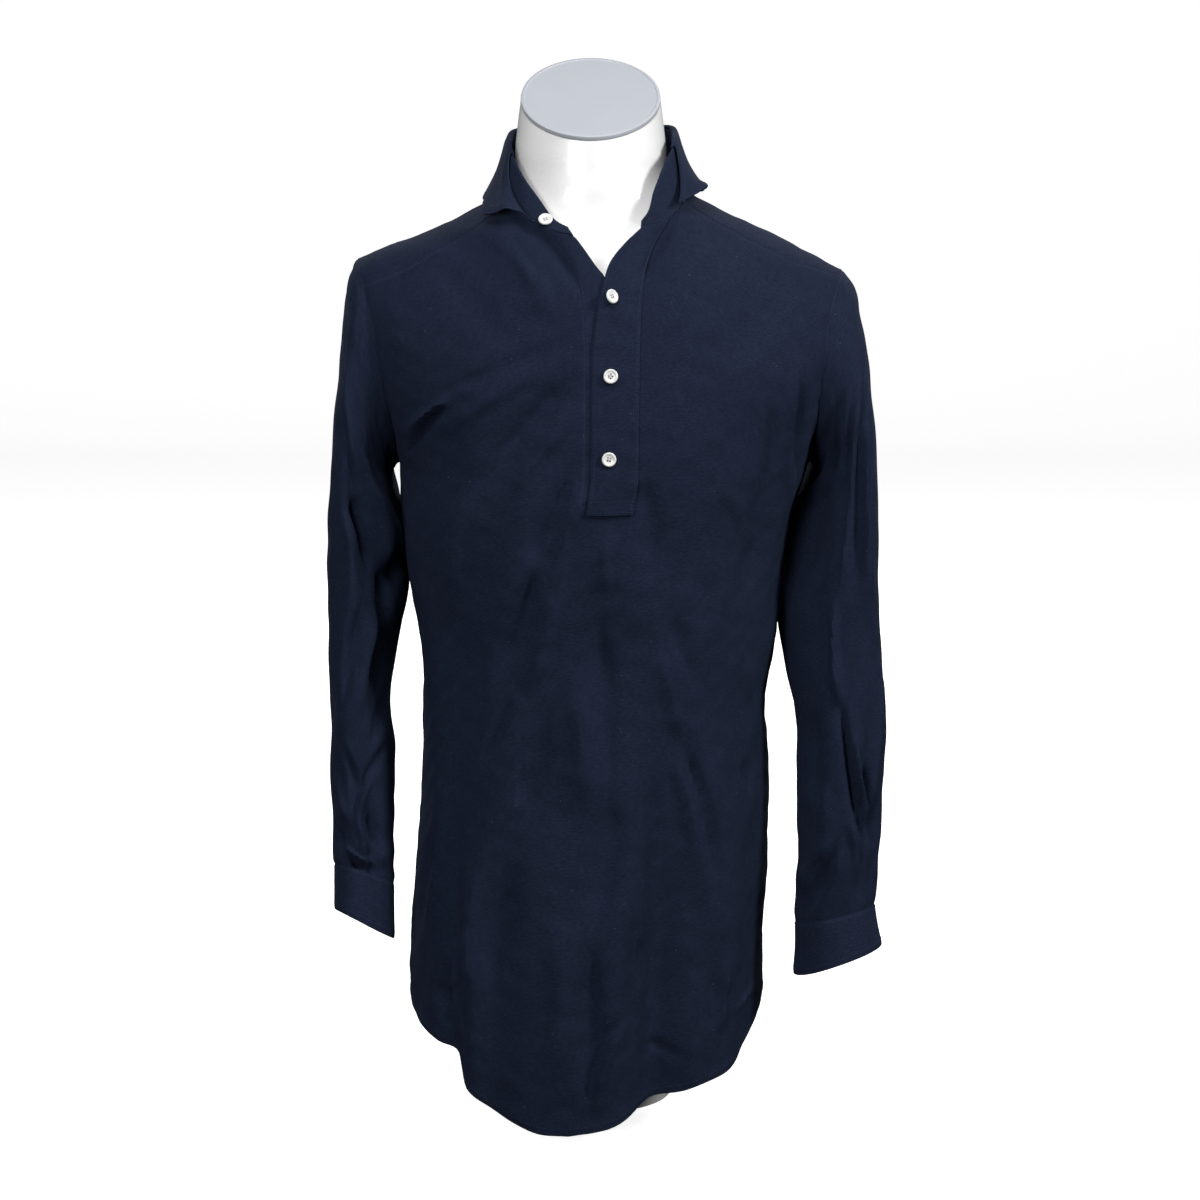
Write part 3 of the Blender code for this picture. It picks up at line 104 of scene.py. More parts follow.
# plackets above the armpit: slot edge x and height, free edge x and height
underRows = (
    (-0.0055, 0.555, 0.0305, 0.555), (-0.0052, 0.578, 0.0305, 0.577),
    (-0.0050, 0.602, 0.0305, 0.599), (-0.0050, 0.625, 0.0302, 0.621),
    (-0.0050, 0.649, 0.0290, 0.643), (-0.0058, 0.672, 0.0262, 0.664),
    (-0.0078, 0.694, 0.0215, 0.685), (-0.0135, 0.715, 0.0155, 0.704),
    (-0.0265, 0.735, 0.0035, 0.7225),
)
overRows = (
    (0.0315, 0.555, -0.0005, 0.555), (0.0318, 0.578, 0.0000, 0.577),
    (0.0320, 0.602, 0.0003, 0.599), (0.0323, 0.625, 0.0005, 0.621),
    (0.0326, 0.649, 0.0008, 0.643), (0.0332, 0.672, 0.0020, 0.664),
    (0.0345, 0.694, 0.0045, 0.684), (0.0380, 0.716, 0.0085, 0.704),
    (0.0470, 0.737, 0.0160, 0.727),
)
# long folds: angle and height at three points from the top down, half width, height
bodyFolds = (
    (-2, 0.680, -20, 0.645, -42, 0.600, 0.016, 0.0030),
    (-3, 0.640, -17, 0.590, -38, 0.520, 0.015, -0.0040),
    (-5, 0.575, -18, 0.500, -36, 0.330, 0.020, 0.0055),
    (-12, 0.560, -26, 0.480, -46, 0.330, 0.018, -0.0040),
    (2, 0.520, 6, 0.470, 11, 0.420, 0.016, 0.0030),
    (46, 0.620, 50, 0.520, 53, 0.400, 0.018, -0.0045),
    (66, 0.640, 65, 0.560, 60, 0.470, 0.016, 0.0040),
    (2, 0.420, 3, 0.330, 7, 0.230, 0.022, 0.0035),
    (20, 0.400, 30, 0.260, 38, 0.060, 0.018, -0.0045),
    (30, 0.380, 40, 0.240, 50, 0.080, 0.020, 0.0040),
    (-62, 0.480, -56, 0.330, -58, 0.160, 0.020, 0.0040),
    (-46, 0.300, -43, 0.120, -42, -0.050, 0.014, -0.0090),
    (-36, 0.260, -34, 0.130, -33, -0.050, 0.018, 0.0060),
    (-8, 0.300, -8, 0.150, -8, -0.050, 0.030, 0.0060),
    (9, 0.300, 8, 0.160, 8, -0.050, 0.016, 0.0080),
    (20, 0.400, 19, 0.080, 19, -0.050, 0.022, -0.0200),
    (48, 0.260, 47, 0.150, 46, -0.050, 0.022, 0.0050),
    (118, 0.620, 126, 0.450, 132, 0.200, 0.022, 0.0050),
    (132, 0.560, 142, 0.380, 146, -0.050, 0.020, -0.0060),
    (152, 0.520, 158, 0.330, 160, 0.080, 0.022, 0.0060),
    (172, 0.480, 176, 0.300, 178, -0.050, 0.022, -0.0070),
    (196, 0.540, 192, 0.360, 194, 0.060, 0.022, 0.0060),
    (214, 0.580, 212, 0.380, 210, -0.050, 0.020, -0.0070),
    (238, 0.620, 232, 0.420, 228, 0.160, 0.024, 0.0060),
    (-22, 0.745, -14, 0.710, -6, 0.670, 0.010, 0.0020),
    (-34, 0.730, -24, 0.690, -14, 0.640, 0.012, -0.0025),
    (30, 0.740, 24, 0.700, 17, 0.650, 0.011, 0.0022),
    (42, 0.735, 36, 0.690, 28, 0.640, 0.013, -0.0025),
)
cutShares = (0, 0.055, 0.11, 0.17, 0.23, 0.29, 0.35, 0.41, 0.47, 0.53,
             0.59, 0.65, 0.71, 0.77, 0.83, 0.89, 0.9645, 1.0)
backRises = (0, 0.025, 0.07, 0.13, 0.20, 0.28, 0.36, 0.44, 0.515, 0.589)
leftRises = (0, 0.025, 0.07, 0.13, 0.20, 0.28, 0.36, 0.45, 0.54, 0.63)
rightRises = (0, 0.025, 0.07, 0.13, 0.20, 0.29, 0.40, 0.53, 0.68, 0.84)
plan = {"armpit": 0.555, "middle": 0.010, "round": 2.4, "arch": 2.3, "front": 0.132, "back": 0.110}

# soft creases of the front as the camera sees them: x and height at three points, half width, height
frontCreases = (
    # drags from the placket to the left armpit
    (-0.005, 0.673, -0.064, 0.645, -0.133, 0.617, 0.0090, -0.0014),
    (-0.003, 0.661, -0.072, 0.622, -0.129, 0.583, 0.0100, 0.0012),
    (-0.005, 0.646, -0.048, 0.603, -0.079, 0.569, 0.0080, -0.0016),
    (-0.004, 0.619, -0.041, 0.575, -0.069, 0.535, 0.0090, 0.0014),
    (-0.005, 0.580, -0.033, 0.528, -0.049, 0.479, 0.0075, -0.0026),
    (-0.001, 0.556, -0.021, 0.508, -0.035, 0.451, 0.0080, 0.0016),
    (-0.045, 0.491, -0.057, 0.444, -0.081, 0.383, 0.0100, -0.0030),
    (-0.025, 0.484, -0.037, 0.426, -0.054, 0.377, 0.0100, 0.0018),
    (-0.064, 0.384, -0.077, 0.346, -0.093, 0.314, 0.0050, -0.0014),
    (-0.097, 0.561, -0.110, 0.504, -0.117, 0.445, 0.0120, 0.0012),
    (-0.122, 0.519, -0.128, 0.468, -0.128, 0.416, 0.0070, -0.0010),
    # armpits
    (-0.112, 0.612, -0.133, 0.594, -0.153, 0.562, 0.0034, -0.0020),
    (-0.108, 0.618, -0.129, 0.606, -0.152, 0.580, 0.0055, 0.0022),
    (0.133, 0.616, 0.136, 0.584, 0.130, 0.544, 0.0040, 0.0010),
    (0.141, 0.616, 0.144, 0.575, 0.137, 0.526, 0.0050, -0.0012),
    (0.166, 0.654, 0.158, 0.590, 0.160, 0.526, 0.0045, 0.0022),
    (0.171, 0.636, 0.166, 0.581, 0.166, 0.528, 0.0050, -0.0018),
    (0.098, 0.556, 0.118, 0.524, 0.129, 0.485, 0.0060, 0.0010),
    # below the collar, both sides
    (-0.078, 0.760, -0.037, 0.741, -0.003, 0.690, 0.0080, -0.0022),
    (-0.098, 0.754, -0.056, 0.724, -0.025, 0.673, 0.0100, 0.0014),
    (0.067, 0.762, 0.048, 0.735, 0.038, 0.703, 0.0060, -0.0018),
    (0.079, 0.767, 0.063, 0.741, 0.055, 0.707, 0.0080, 0.0014),
    # belly
    (0.036, 0.568, 0.046, 0.520, 0.050, 0.471, 0.0090, -0.0018),
    (0.014, 0.524, 0.011, 0.492, 0.007, 0.459, 0.0100, 0.0010),
    (-0.033, 0.385, -0.048, 0.320, -0.058, 0.282, 0.0130, -0.0022),
    (-0.053, 0.290, -0.073, 0.266, -0.096, 0.239, 0.0035, -0.0014),
    (-0.058, 0.285, -0.078, 0.260, -0.100, 0.232, 0.0050, 0.0009),
    (0.003, 0.459, 0.010, 0.378, 0.015, 0.297, 0.0120, -0.0022),
    (0.016, 0.313, 0.013, 0.248, -0.002, 0.178, 0.0140, -0.0022),
    (-0.013, 0.427, -0.009, 0.345, -0.008, 0.280, 0.0140, 0.0016),
    (0.064, 0.458, 0.072, 0.417, 0.091, 0.381, 0.0070, -0.0014),
    (0.055, 0.426, 0.064, 0.376, 0.074, 0.339, 0.0080, 0.0014),
    (0.086, 0.490, 0.091, 0.457, 0.089, 0.424, 0.0080, -0.0010),
    (0.071, 0.341, 0.093, 0.283, 0.106, 0.180, 0.0055, -0.0022),
    (0.061, 0.342, 0.081, 0.285, 0.093, 0.191, 0.0090, 0.0016),
    (0.051, 0.328, 0.052, 0.255, 0.047, 0.181, 0.0080, -0.0018),
    (0.126, 0.321, 0.129, 0.304, 0.131, 0.282, 0.0040, -0.0012),
    (0.122, 0.420, 0.132, 0.365, 0.137, 0.312, 0.0090, 0.0012),
    (-0.115, 0.286, -0.130, 0.223, -0.140, 0.169, 0.0080, 0.0015),
    (-0.123, 0.275, -0.137, 0.212, -0.147, 0.159, 0.0060, -0.0014),
    (-0.058, 0.246, -0.075, 0.187, -0.083, 0.119, 0.0130, -0.0016),
    (-0.091, 0.250, -0.100, 0.183, -0.104, 0.123, 0.0100, 0.0013),
    # hem
    (-0.115, 0.175, -0.116, 0.125, -0.112, 0.077, 0.0045, 0.0030),
    (-0.123, 0.160, -0.123, 0.118, -0.119, 0.085, 0.0050, -0.0026),
    (-0.130, 0.136, -0.126, 0.117, -0.118, 0.101, 0.0040, -0.0015),
    (-0.026, 0.215, -0.024, 0.132, -0.026, 0.039, 0.0160, 0.0018),
    (0.002, 0.190, -0.002, 0.116, -0.002, 0.026, 0.0100, -0.0024),
    (0.033, 0.121, 0.011, 0.080, 0.000, 0.032, 0.0050, 0.0014),
    (0.024, 0.124, 0.007, 0.092, -0.003, 0.056, 0.0040, -0.0012),
    (0.039, 0.247, 0.042, 0.156, 0.036, 0.081, 0.0042, 0.0017),
    (0.032, 0.231, 0.034, 0.148, 0.029, 0.064, 0.0065, -0.0013),
    (0.047, 0.092, 0.062, 0.085, 0.079, 0.074, 0.0035, -0.0014),
    (0.107, 0.162, 0.106, 0.124, 0.103, 0.087, 0.0038, 0.0016),
    (0.101, 0.155, 0.099, 0.122, 0.097, 0.093, 0.0040, -0.0012),
    (0.140, 0.116, 0.125, 0.114, 0.113, 0.107, 0.0040, 0.0012),
)
# the same for the back, which the photo hides
backCreases = (
    (-0.110, 0.640, -0.060, 0.610, 0.000, 0.600, 0.0090, -0.0015),
    (0.125, 0.650, 0.080, 0.612, 0.020, 0.590, 0.0090, -0.0016),
    (-0.120, 0.600, -0.085, 0.550, -0.060, 0.470, 0.0080, -0.0018),
    (0.130, 0.600, 0.098, 0.540, 0.072, 0.460, 0.0080, -0.0018),
    (-0.080, 0.560, -0.050, 0.480, -0.035, 0.380, 0.0110, 0.0016),
    (0.085, 0.540, 0.050, 0.460, 0.040, 0.370, 0.0110, 0.0015),
    (-0.095, 0.440, -0.070, 0.400, -0.030, 0.385, 0.0050, -0.0014),
    (0.100, 0.430, 0.060, 0.395, 0.020, 0.392, 0.0050, -0.0013),
    (-0.090, 0.415, -0.060, 0.375, -0.020, 0.362, 0.0060, 0.0010),
    (0.010, 0.350, 0.006, 0.260, 0.010, 0.150, 0.0130, -0.0020),
    (-0.060, 0.330, -0.066, 0.230, -0.062, 0.110, 0.0120, -0.0018),
    (0.070, 0.340, 0.074, 0.240, 0.068, 0.110, 0.0120, -0.0018),
    (-0.028, 0.300, -0.030, 0.200, -0.026, 0.060, 0.0120, 0.0016),
    (0.038, 0.300, 0.040, 0.190, 0.036, 0.060, 0.0120, 0.0016),
    (-0.118, 0.240, -0.121, 0.160, -0.117, 0.100, 0.0070, -0.0016),
    (0.112, 0.250, 0.117, 0.170, 0.112, 0.100, 0.0070, 0.0014),
    (-0.020, 0.130, -0.010, 0.090, -0.006, 0.040, 0.0045, -0.0013),
)


# ---- tables and curves -----------------------------------------------------------
def column(rows, index):
    return np.array([row[index] for row in rows], dtype=float)


def smooth(value, xs, ys):
    # cubic curve through a table, flat beyond its ends; ys may have more axes
    xs = np.asarray(xs, dtype=float)
    ys = np.asarray(ys, dtype=float)
    span = (xs[2:] - xs[:-2]).reshape((-1,) + (1,) * (ys.ndim - 1))
    slope = np.empty_like(ys)
    slope[1:-1] = (ys[2:] - ys[:-2]) / span
    slope[0] = (ys[1] - ys[0]) / (xs[1] - xs[0])
    slope[-1] = (ys[-1] - ys[-2]) / (xs[-1] - xs[-2])
    v = np.clip(np.asarray(value, dtype=float), xs[0], xs[-1])
    i = np.clip(np.searchsorted(xs, v) - 1, 0, len(xs) - 2)
    step = xs[i + 1] - xs[i]
    t = (v - xs[i]) / step
    if ys.ndim > 1:
        t = t.reshape(t.shape + (1,) * (ys.ndim - 1))
        step = step.reshape(step.shape + (1,) * (ys.ndim - 1))
    a = ys[i] * (2 * t**3 - 3 * t**2 + 1) + ys[i + 1] * (3 * t**2 - 2 * t**3)
    b = slope[i] * (t**3 - 2 * t**2 + t) + slope[i + 1] * (t**3 - t**2)
    return a + b * step


def table(value, rows, index):
    return smooth(value, column(rows, 0), column(rows, index))


def unit(v):
    return v / np.maximum(np.linalg.norm(v, axis=-1, keepdims=True), 1e-12)


def fade(value, low, high):
    t = np.clip((value - low) / (high - low), 0, 1)
    return t * t * (3 - 2 * t)


def refineAxis(grid, breaks, step):
    # finer points along the first axis, with corners kept at the breaks
    parts = []
    for a, b in zip(breaks[:-1], breaks[1:]):
        place = np.linspace(0, b - a, (b - a) * step + 1)
        if b - a == 1:
            part = grid[a] + (grid[b] - grid[a]) * place.reshape((-1,) + (1,) * (grid.ndim - 1))
        else:
            part = smooth(place, np.arange(b - a + 1), grid[a:b + 1])
        parts.append(part if not parts else part[1:])
    return np.concatenate(parts)


def refine(grid, rowBreaks, colBreaks, rowStep, colStep):
    grid = refineAxis(grid, rowBreaks, rowStep)
    return refineAxis(grid.swapaxes(0, 1), colBreaks, colStep).swapaxes(0, 1)


def waves(u, v, size, seed):
    # soft uneven surface, about -1 to 1, from a few crossed waves
    rng = np.random.default_rng(seed)
    total = np.zeros_like(u)
    for k in range(14):
        turn = rng.uniform(0, math.pi)
        length = size * rng.uniform(0.6, 1.9)
        shift = rng.uniform(0, 2 * math.pi)
        total = total + np.sin((u * math.cos(turn) + v * math.sin(turn)) * 2 * math.pi / length + shift)
    return total / 3.8


# ---- body surface ----------------------------------------------------------------
def bodyAt(angle, rise):
    angle, rise = np.broadcast_arrays(np.asarray(angle, dtype=float), np.asarray(rise, dtype=float))
    past = rise > 1.0
    angle = np.where(past, 180.0 - angle, angle)
    rise = np.where(past, 2.0 - rise, rise)
    s = np.sin(np.radians(angle))
    c = np.cos(np.radians(angle))
    wide = np.sign(s) * np.abs(s) ** (2 / plan["round"])
    deep = np.sign(c) * np.abs(c) ** (2 / plan["round"])
    low = rise <= 0
    zLow = plan["armpit"] + np.minimum(rise, 0)
    turn = np.radians(90 * np.clip(rise, 0, 1))
    share = np.sin(turn) ** (2 / plan["arch"])
    arch = np.abs(np.cos(turn)) ** (2 / plan["arch"])
    cx = np.where(low, table(zLow, bodyRows, 1), table(share, chestRows, 1))
    half = np.where(low, table(zLow, bodyRows, 2), table(share, chestRows, 2))
    front = np.where(low, table(zLow, bodyRows, 3), plan["front"] * arch)
    back = np.where(low, table(zLow, bodyRows, 4), plan["back"] * arch)
    x = cx + half * wide
    y = plan["middle"] - np.where(deep > 0, front, back) * deep
    top = table(x, shoulderRows, 1)
    z = np.where(low, zLow, plan["armpit"] + (top - plan["armpit"]) * share)
    return np.stack([x, y, z], axis=-1)


def lateral(x, rise):
    # angle from the centre line of a point at this x and rise
    turn = np.radians(90 * (1 - np.abs(1 - np.clip(rise, 0, 2))))
    share = np.sin(turn) ** (2 / plan["arch"])
    wide = (x - table(share, chestRows, 1)) / table(share, chestRows, 2)
    return np.sign(wide) * np.degrees(np.arcsin(np.clip(np.abs(wide), 0, 1) ** (plan["round"] / 2)))


def locate(x, z):
    share = np.clip((z - plan["armpit"]) / (table(x, shoulderRows, 1) - plan["armpit"]), 0, 1)
    rise = np.degrees(np.arcsin(share ** (plan["arch"] / 2))) / 90
    return lateral(x, rise), rise


def foldHeight(angle, z, folds):
    total = np.zeros_like(z)
    for a1, z1, a2, z2, a3, z3, width, height in folds:
        line = smooth(z, (z3, z2, z1), (a3, a2, a1))
        away = (angle - line + 180) % 360 - 180
        across = np.radians(away) * 0.150 / width
        along = fade(z, z1, z2 + 0.25 * (z1 - z2))
        if z3 > 0:
            along = along * fade(z, z3, z2 - 0.25 * (z2 - z3))
        total = total + height * np.exp(-across**2) * along
    return total


def creaseHeight(u, v, rows):
    # sum of the creases at these places of a flat view
    total = np.zeros_like(u)
    for u1, v1, u2, v2, u3, v3, half, height in rows:
        t = np.linspace(0, 1, 11)
        bendU = 2 * u2 - (u1 + u3) / 2
        bendV = 2 * v2 - (v1 + v3) / 2
        lineU = u1 * (1 - t) ** 2 + bendU * 2 * t * (1 - t) + u3 * t**2
        lineV = v1 * (1 - t) ** 2 + bendV * 2 * t * (1 - t) + v3 * t**2
        near = ((u > lineU.min() - 3 * half) & (u < lineU.max() + 3 * half)
                & (v > lineV.min() - 3 * half) & (v < lineV.max() + 3 * half))
        if not near.any():
            continue
        pu, pv = u[near], v[near]
        best = np.full(pu.shape, 9.0)
        place = np.zeros(pu.shape)
        for k in range(10):
            du, dv = lineU[k + 1] - lineU[k], lineV[k + 1] - lineV[k]
            s = np.clip(((pu - lineU[k]) * du + (pv - lineV[k]) * dv) / max(du * du + dv * dv, 1e-12), 0, 1)
            d = np.hypot(pu - lineU[k] - s * du, pv - lineV[k] - s * dv)
            closer = d < best
            best = np.where(closer, d, best)
            place = np.where(closer, (k + s) / 10, place)
        taper = fade(place, 0, 0.35) * fade(1 - place, 0, 0.35)
        width = half * (0.75 + 0.25 * np.sin(place * 7 + height * 900))
        total[near] += height * np.exp(-(best / width) ** 2) * taper
    return total * shirt["crease"]


def clothAt(angle, rise, fine=True):
    # body surface with its folds and creases
    eps = 0.004
    angle, rise = np.broadcast_arrays(np.asarray(angle, dtype=float), np.asarray(rise, dtype=float))
    p = bodyAt(angle, rise)
    du = bodyAt(angle + 0.5, rise) - bodyAt(angle - 0.5, rise)
    dv = bodyAt(angle, rise + eps) - bodyAt(angle, rise - eps)
    normal = unit(np.cross(du, dv))
    realAngle = np.where(rise > 1, 180 - angle, angle)
    height = foldHeight(realAngle, p[..., 2], bodyFolds)
    if fine:
        x, y, z = p[..., 0], p[..., 1], p[..., 2]
        toFront = fade(plan["middle"] + 0.010 - y, 0, 0.020)
        height = height + creaseHeight(x, z, frontCreases) * toFront
        height = height + creaseHeight(x, z, backCreases) * (1 - toFront)
        around = np.radians(realAngle) * 0.15
        height = height + shirt["ripple"] * waves(around, z, 0.030, 5)
        height = height + shirt["ripple"] * 1.6 * waves(around, z, 0.085, 6)
    return p + normal * height[..., None]


def hemRise(angle, share):
    wrapped = (np.asarray(angle, dtype=float) + 90) % 360 - 90
    return (table(wrapped, hemRows, 1) - plan["armpit"]) * (1 - share)


def patch(bottom, top, left, right):
    bottom, top, left, right = (np.asarray(e, dtype=float) for e in (bottom, top, left, right))
    u = np.linspace(0, 1, len(bottom))[None, :, None]
    v = np.linspace(0, 1, len(left))[:, None, None]
    rule = (1 - v) * bottom[None] + v * top[None] + (1 - u) * left[:, None] + u * right[:, None]
    corner = ((1 - u) * (1 - v) * bottom[0] + u * (1 - v) * bottom[-1]
              + (1 - u) * v * top[0] + u * v * top[-1])
    return rule - corner


# ---- cut lines -------------------------------------------------------------------
def armAngle(rise):
    return table(1 - np.abs(1 - np.asarray(rise, dtype=float)), armholeRows, 1)


def neckPoint(station):
    index = np.arange(len(neckRows))
    x = smooth(station, index, column(neckRows, 0))
    rise = smooth(station, index, column(neckRows, 1))
    return np.stack([lateral(x, rise), rise], axis=-1)


def yokeOuter():
    left = np.linspace(yokeCut["frontLeft"], yokeCut["back"], 6)
    right = np.linspace(yokeCut["back"], yokeCut["frontRight"], 6)
    end = float(armAngle(yokeCut["back"]))
    seam = np.linspace(-end, end, 21)
    rise = table(np.abs(seam), yokeBackRows, 1)
    rise = rise + (yokeCut["back"] - rise[0]) * (np.abs(seam) / end) ** 4
    return np.concatenate([np.stack([-armAngle(left), left], -1),
                           np.stack([seam, rise], -1)[1:-1],
                           np.stack([armAngle(right), right], -1)])


def yokeStations():
    left = np.linspace(stationsAt["yokeLeft"], 6.2, 6)
    middle = np.linspace(6.2, 13.8, 21)
    right = np.linspace(13.8, stationsAt["yokeRight"], 6)
    return np.concatenate([left, middle[1:-1], right])


def yokeNumbers():
    outer = yokeOuter()
    inner = neckPoint(yokeStations())
    w = np.linspace(0, 1, 8)
    grid = inner[None] * (1 - w)[:, None, None] + outer[None] * w[:, None, None]
    cols = np.arange(len(outer))
    bow = (yokeCut["bowLeft"] * np.clip(1 - cols / 5, 0, 1) ** 2
           + yokeCut["bowRight"] * np.clip(1 - (len(outer) - 1 - cols) / 5, 0, 1) ** 2)
    grid[..., 1] += bow[None] * (4 * w * (1 - w))[:, None]
    return grid


def placketEdges(rows, slotStation, endStation):
    slot = [np.array(locate(r[0], r[1])) for r in rows] + [neckPoint(slotStation)]
    free = [np.array(locate(r[2], r[3])) for r in rows] + [neckPoint(endStation)]
    return np.array(slot), np.array(free)


def frontNumbers(yoke, under, over):
    neckL = neckPoint(np.linspace(stationsAt["yokeLeft"], stationsAt["slotLeft"], 5))
    topL = np.concatenate([yoke[::-1, 0], neckL[1:]])
    left = np.stack([-armAngle(leftRises), np.array(leftRises)], -1)
    bottomL = np.stack([np.linspace(-90, under[0][0, 0], 12), np.zeros(12)], -1)
    upperL = patch(bottomL, topL, left, under[0])
    neckR = neckPoint(np.linspace(stationsAt["slotRight"], stationsAt["yokeRight"], 4))
    topR = np.concatenate([neckR, yoke[1:, -1]])
    right = np.stack([armAngle(rightRises), np.array(rightRises)], -1)
    bottomR = np.stack([np.linspace(over[0][0, 0], 90, 11), np.zeros(11)], -1)
    upperR = patch(bottomR, topR, over[0], right)
    middle = np.linspace(over[1][0, 0], over[0][0, 0], 4)[:-1]
    line = np.concatenate([bottomL[:, 0], middle, bottomR[:, 0]])
    lower = np.array([np.stack([line, hemRise(line, share)], -1) for share in cutShares[:-1]])
    bridge = np.stack([upperL[:, -1] * (1 - t) + upperR[:, 0] * t for t in (0.2, 0.47, 0.73)], axis=1)
    bridge[0] = np.stack([middle, np.zeros(3)], -1)
    upper = np.concatenate([upperL, bridge, upperR], axis=1)
    return np.concatenate([lower, upper])


def backNumbers():
    outer = yokeOuter()[5:26][::-1]
    top = np.stack([180 - outer[:, 0], 2 - outer[:, 1]], -1)
    rises = np.array(backRises)
    right = np.stack([180 - armAngle(rises), rises], -1)
    left = np.stack([180 + armAngle(rises), rises], -1)
    line = np.linspace(90, 270, 21)
    bottom = np.stack([line, np.zeros(21)], -1)
    upper = patch(bottom, top, right, left)
    rows = [np.stack([line, hemRise(line, s)], -1) for s in cutShares[:-1]]
    return np.concatenate([np.array(rows), upper])


def armLoop(rises, side, yokeFront):
    over = np.linspace(yokeFront, yokeCut["back"], 6)[1:-1]
    rise = np.concatenate([np.array(rises), over, 2 - np.array(backRises)[::-1]])
    return np.stack([side * armAngle(rise), rise], -1)


# ---- meshes ----------------------------------------------------------------------
def gridNormals(points, closed=False):
    if closed:
        du = np.roll(points, -1, axis=1) - np.roll(points, 1, axis=1)
    else:
        du = np.gradient(points, axis=1)
    return unit(np.cross(du, np.gradient(points, axis=0)))


def mitre(a, b):
    dot = np.sum(a * b, axis=-1, keepdims=True)
    return np.where(dot > 0.25, (a + b) / (1 + np.maximum(dot, 0.25)), unit(a + b))


def gridQuads(rows, cols, keep=None, closed=False, flip=False):
    width = cols if closed else cols - 1
    r, c = np.meshgrid(np.arange(rows - 1), np.arange(width), indexing="ij")
    d = (c + 1) % cols
    quads = np.stack([r * cols + c, r * cols + d, (r + 1) * cols + d, (r + 1) * cols + c], -1)
    quads = quads.reshape(-1, 4) if keep is None else quads[keep]
    return quads[:, ::-1] if flip else quads


def flatPlaces(points, closed=False):
    # metres along the cloth for each point of a grid, its columns first
    across = np.linalg.norm(np.diff(points, axis=1), axis=-1).mean(axis=0)
    if closed:
        across = across[:points.shape[1] - 1]
    along = np.linalg.norm(np.diff(points, axis=0), axis=-1).mean(axis=1)
    u = np.concatenate([[0], np.cumsum(across)])
    v = np.concatenate([[0], np.cumsum(along)])
    return np.stack(np.meshgrid(u, v), -1)


def addMesh(name, verts, faces, mat, places=None, sharp=42, wear=None):
    mesh = bpy.data.meshes.new(name)
    mesh.from_pydata(np.asarray(verts).tolist(), [], [tuple(f) for f in faces])
    mesh.materials.append(mat)
    mesh.shade_smooth()
    mesh.set_sharp_from_angle(angle=math.radians(sharp))
    if places is not None:
        layer = mesh.uv_layers.new(name="cloth")
        index = np.empty(len(mesh.loops), dtype=np.int32)
        mesh.loops.foreach_get("vertex_index", index)
        layer.data.foreach_set("uv", np.asarray(places, dtype=np.float32)[index].ravel())
    if wear is not None:
        mesh.attributes.new("wear", "FLOAT", "POINT").data.foreach_set("value", np.asarray(wear, dtype=np.float32))
    obj = bpy.data.objects.new(name, mesh)
    bpy.context.scene.collection.objects.link(obj)
    return obj


def addShell(name, points, offsets, wall, mat, keep=None, closed=False, flip=False, gap=None, drop=None):
    # closed wall from a grid of outer points; its edges draw back a little and dip
    gap = shirt["seamGap"] if gap is None else gap
    drop = shirt["edgeDrop"] if drop is None else drop
    rows, cols = points.shape[:2]
    places = flatPlaces(points, closed).reshape(-1, 2)
    quads = gridQuads(rows, cols, keep, closed, flip)
    p = points.reshape(-1, 3).copy()
    n = offsets.reshape(-1, 3)
    size = len(p)
    starts = quads.ravel()
    ends = np.roll(quads, -1, axis=1).ravel()
    forward = starts.astype(np.int64) * size + ends
    backward = ends.astype(np.int64) * size + starts
    lone = ~np.isin(forward, backward)
    a, b = starts[lone], ends[lone]
    inward = unit(np.cross(unit(n[a] + n[b]), p[b] - p[a]))
    shift = np.zeros_like(p)
    count = np.zeros(size)
    for v in (a, b):
        np.add.at(shift, v, inward)
        np.add.at(count, v, 1)
    rim = count > 0
    mean = shift[rim] / count[rim][:, None]
    length = np.maximum(np.sum(mean * mean, axis=1, keepdims=True), 0.35)
    p[rim] += mean / length * gap * 0.7
    outer = p.copy()
    inner = p - n * wall
    outer[rim] -= n[rim] * drop
    inner[rim] += n[rim] * min(drop, wall * 0.2)
    used = np.zeros(size, dtype=bool)
    used[quads.ravel()] = True
    index = np.cumsum(used) - 1
    total = int(used.sum())
    faces = np.concatenate([index[quads], index[quads][:, ::-1] + total,
                            np.stack([index[b], index[a], index[a] + total, index[b] + total], -1)])
    both = np.concatenate([outer[used], inner[used]])
    worn = rim.astype(float)
    return addMesh(name, both, faces.tolist(), mat, np.concatenate([places[used], places[used]]),
                   wear=np.concatenate([worn[used], worn[used]]))


def lineBeside(points, normals, distance, edge):
    # a line that runs at this distance from one edge of a grid
    if edge in ("left", "right"):
        points, normals = points.swapaxes(0, 1), normals.swapaxes(0, 1)
    if edge in ("top", "right"):
        points, normals = points[::-1], normals[::-1]
    away = np.linalg.norm(np.diff(points, axis=0), axis=-1)
    away = np.concatenate([np.zeros((1, away.shape[1])), np.cumsum(away, axis=0)])
    spot = np.argmax(away >= distance, axis=0)
    spot = np.clip(spot, 1, len(points) - 1)
    cols = np.arange(points.shape[1])
    low, high = away[spot - 1, cols], away[spot, cols]
    t = np.clip((distance - low) / np.maximum(high - low, 1e-9), 0, 1)[:, None]
    line = points[spot - 1, cols] * (1 - t) + points[spot, cols] * t
    out = unit(normals[spot - 1, cols] * (1 - t) + normals[spot, cols] * t)
    return line, out


stitchLook = {"pitch": 0.0030, "length": 0.0023, "radius": 0.00019, "sides": 6}


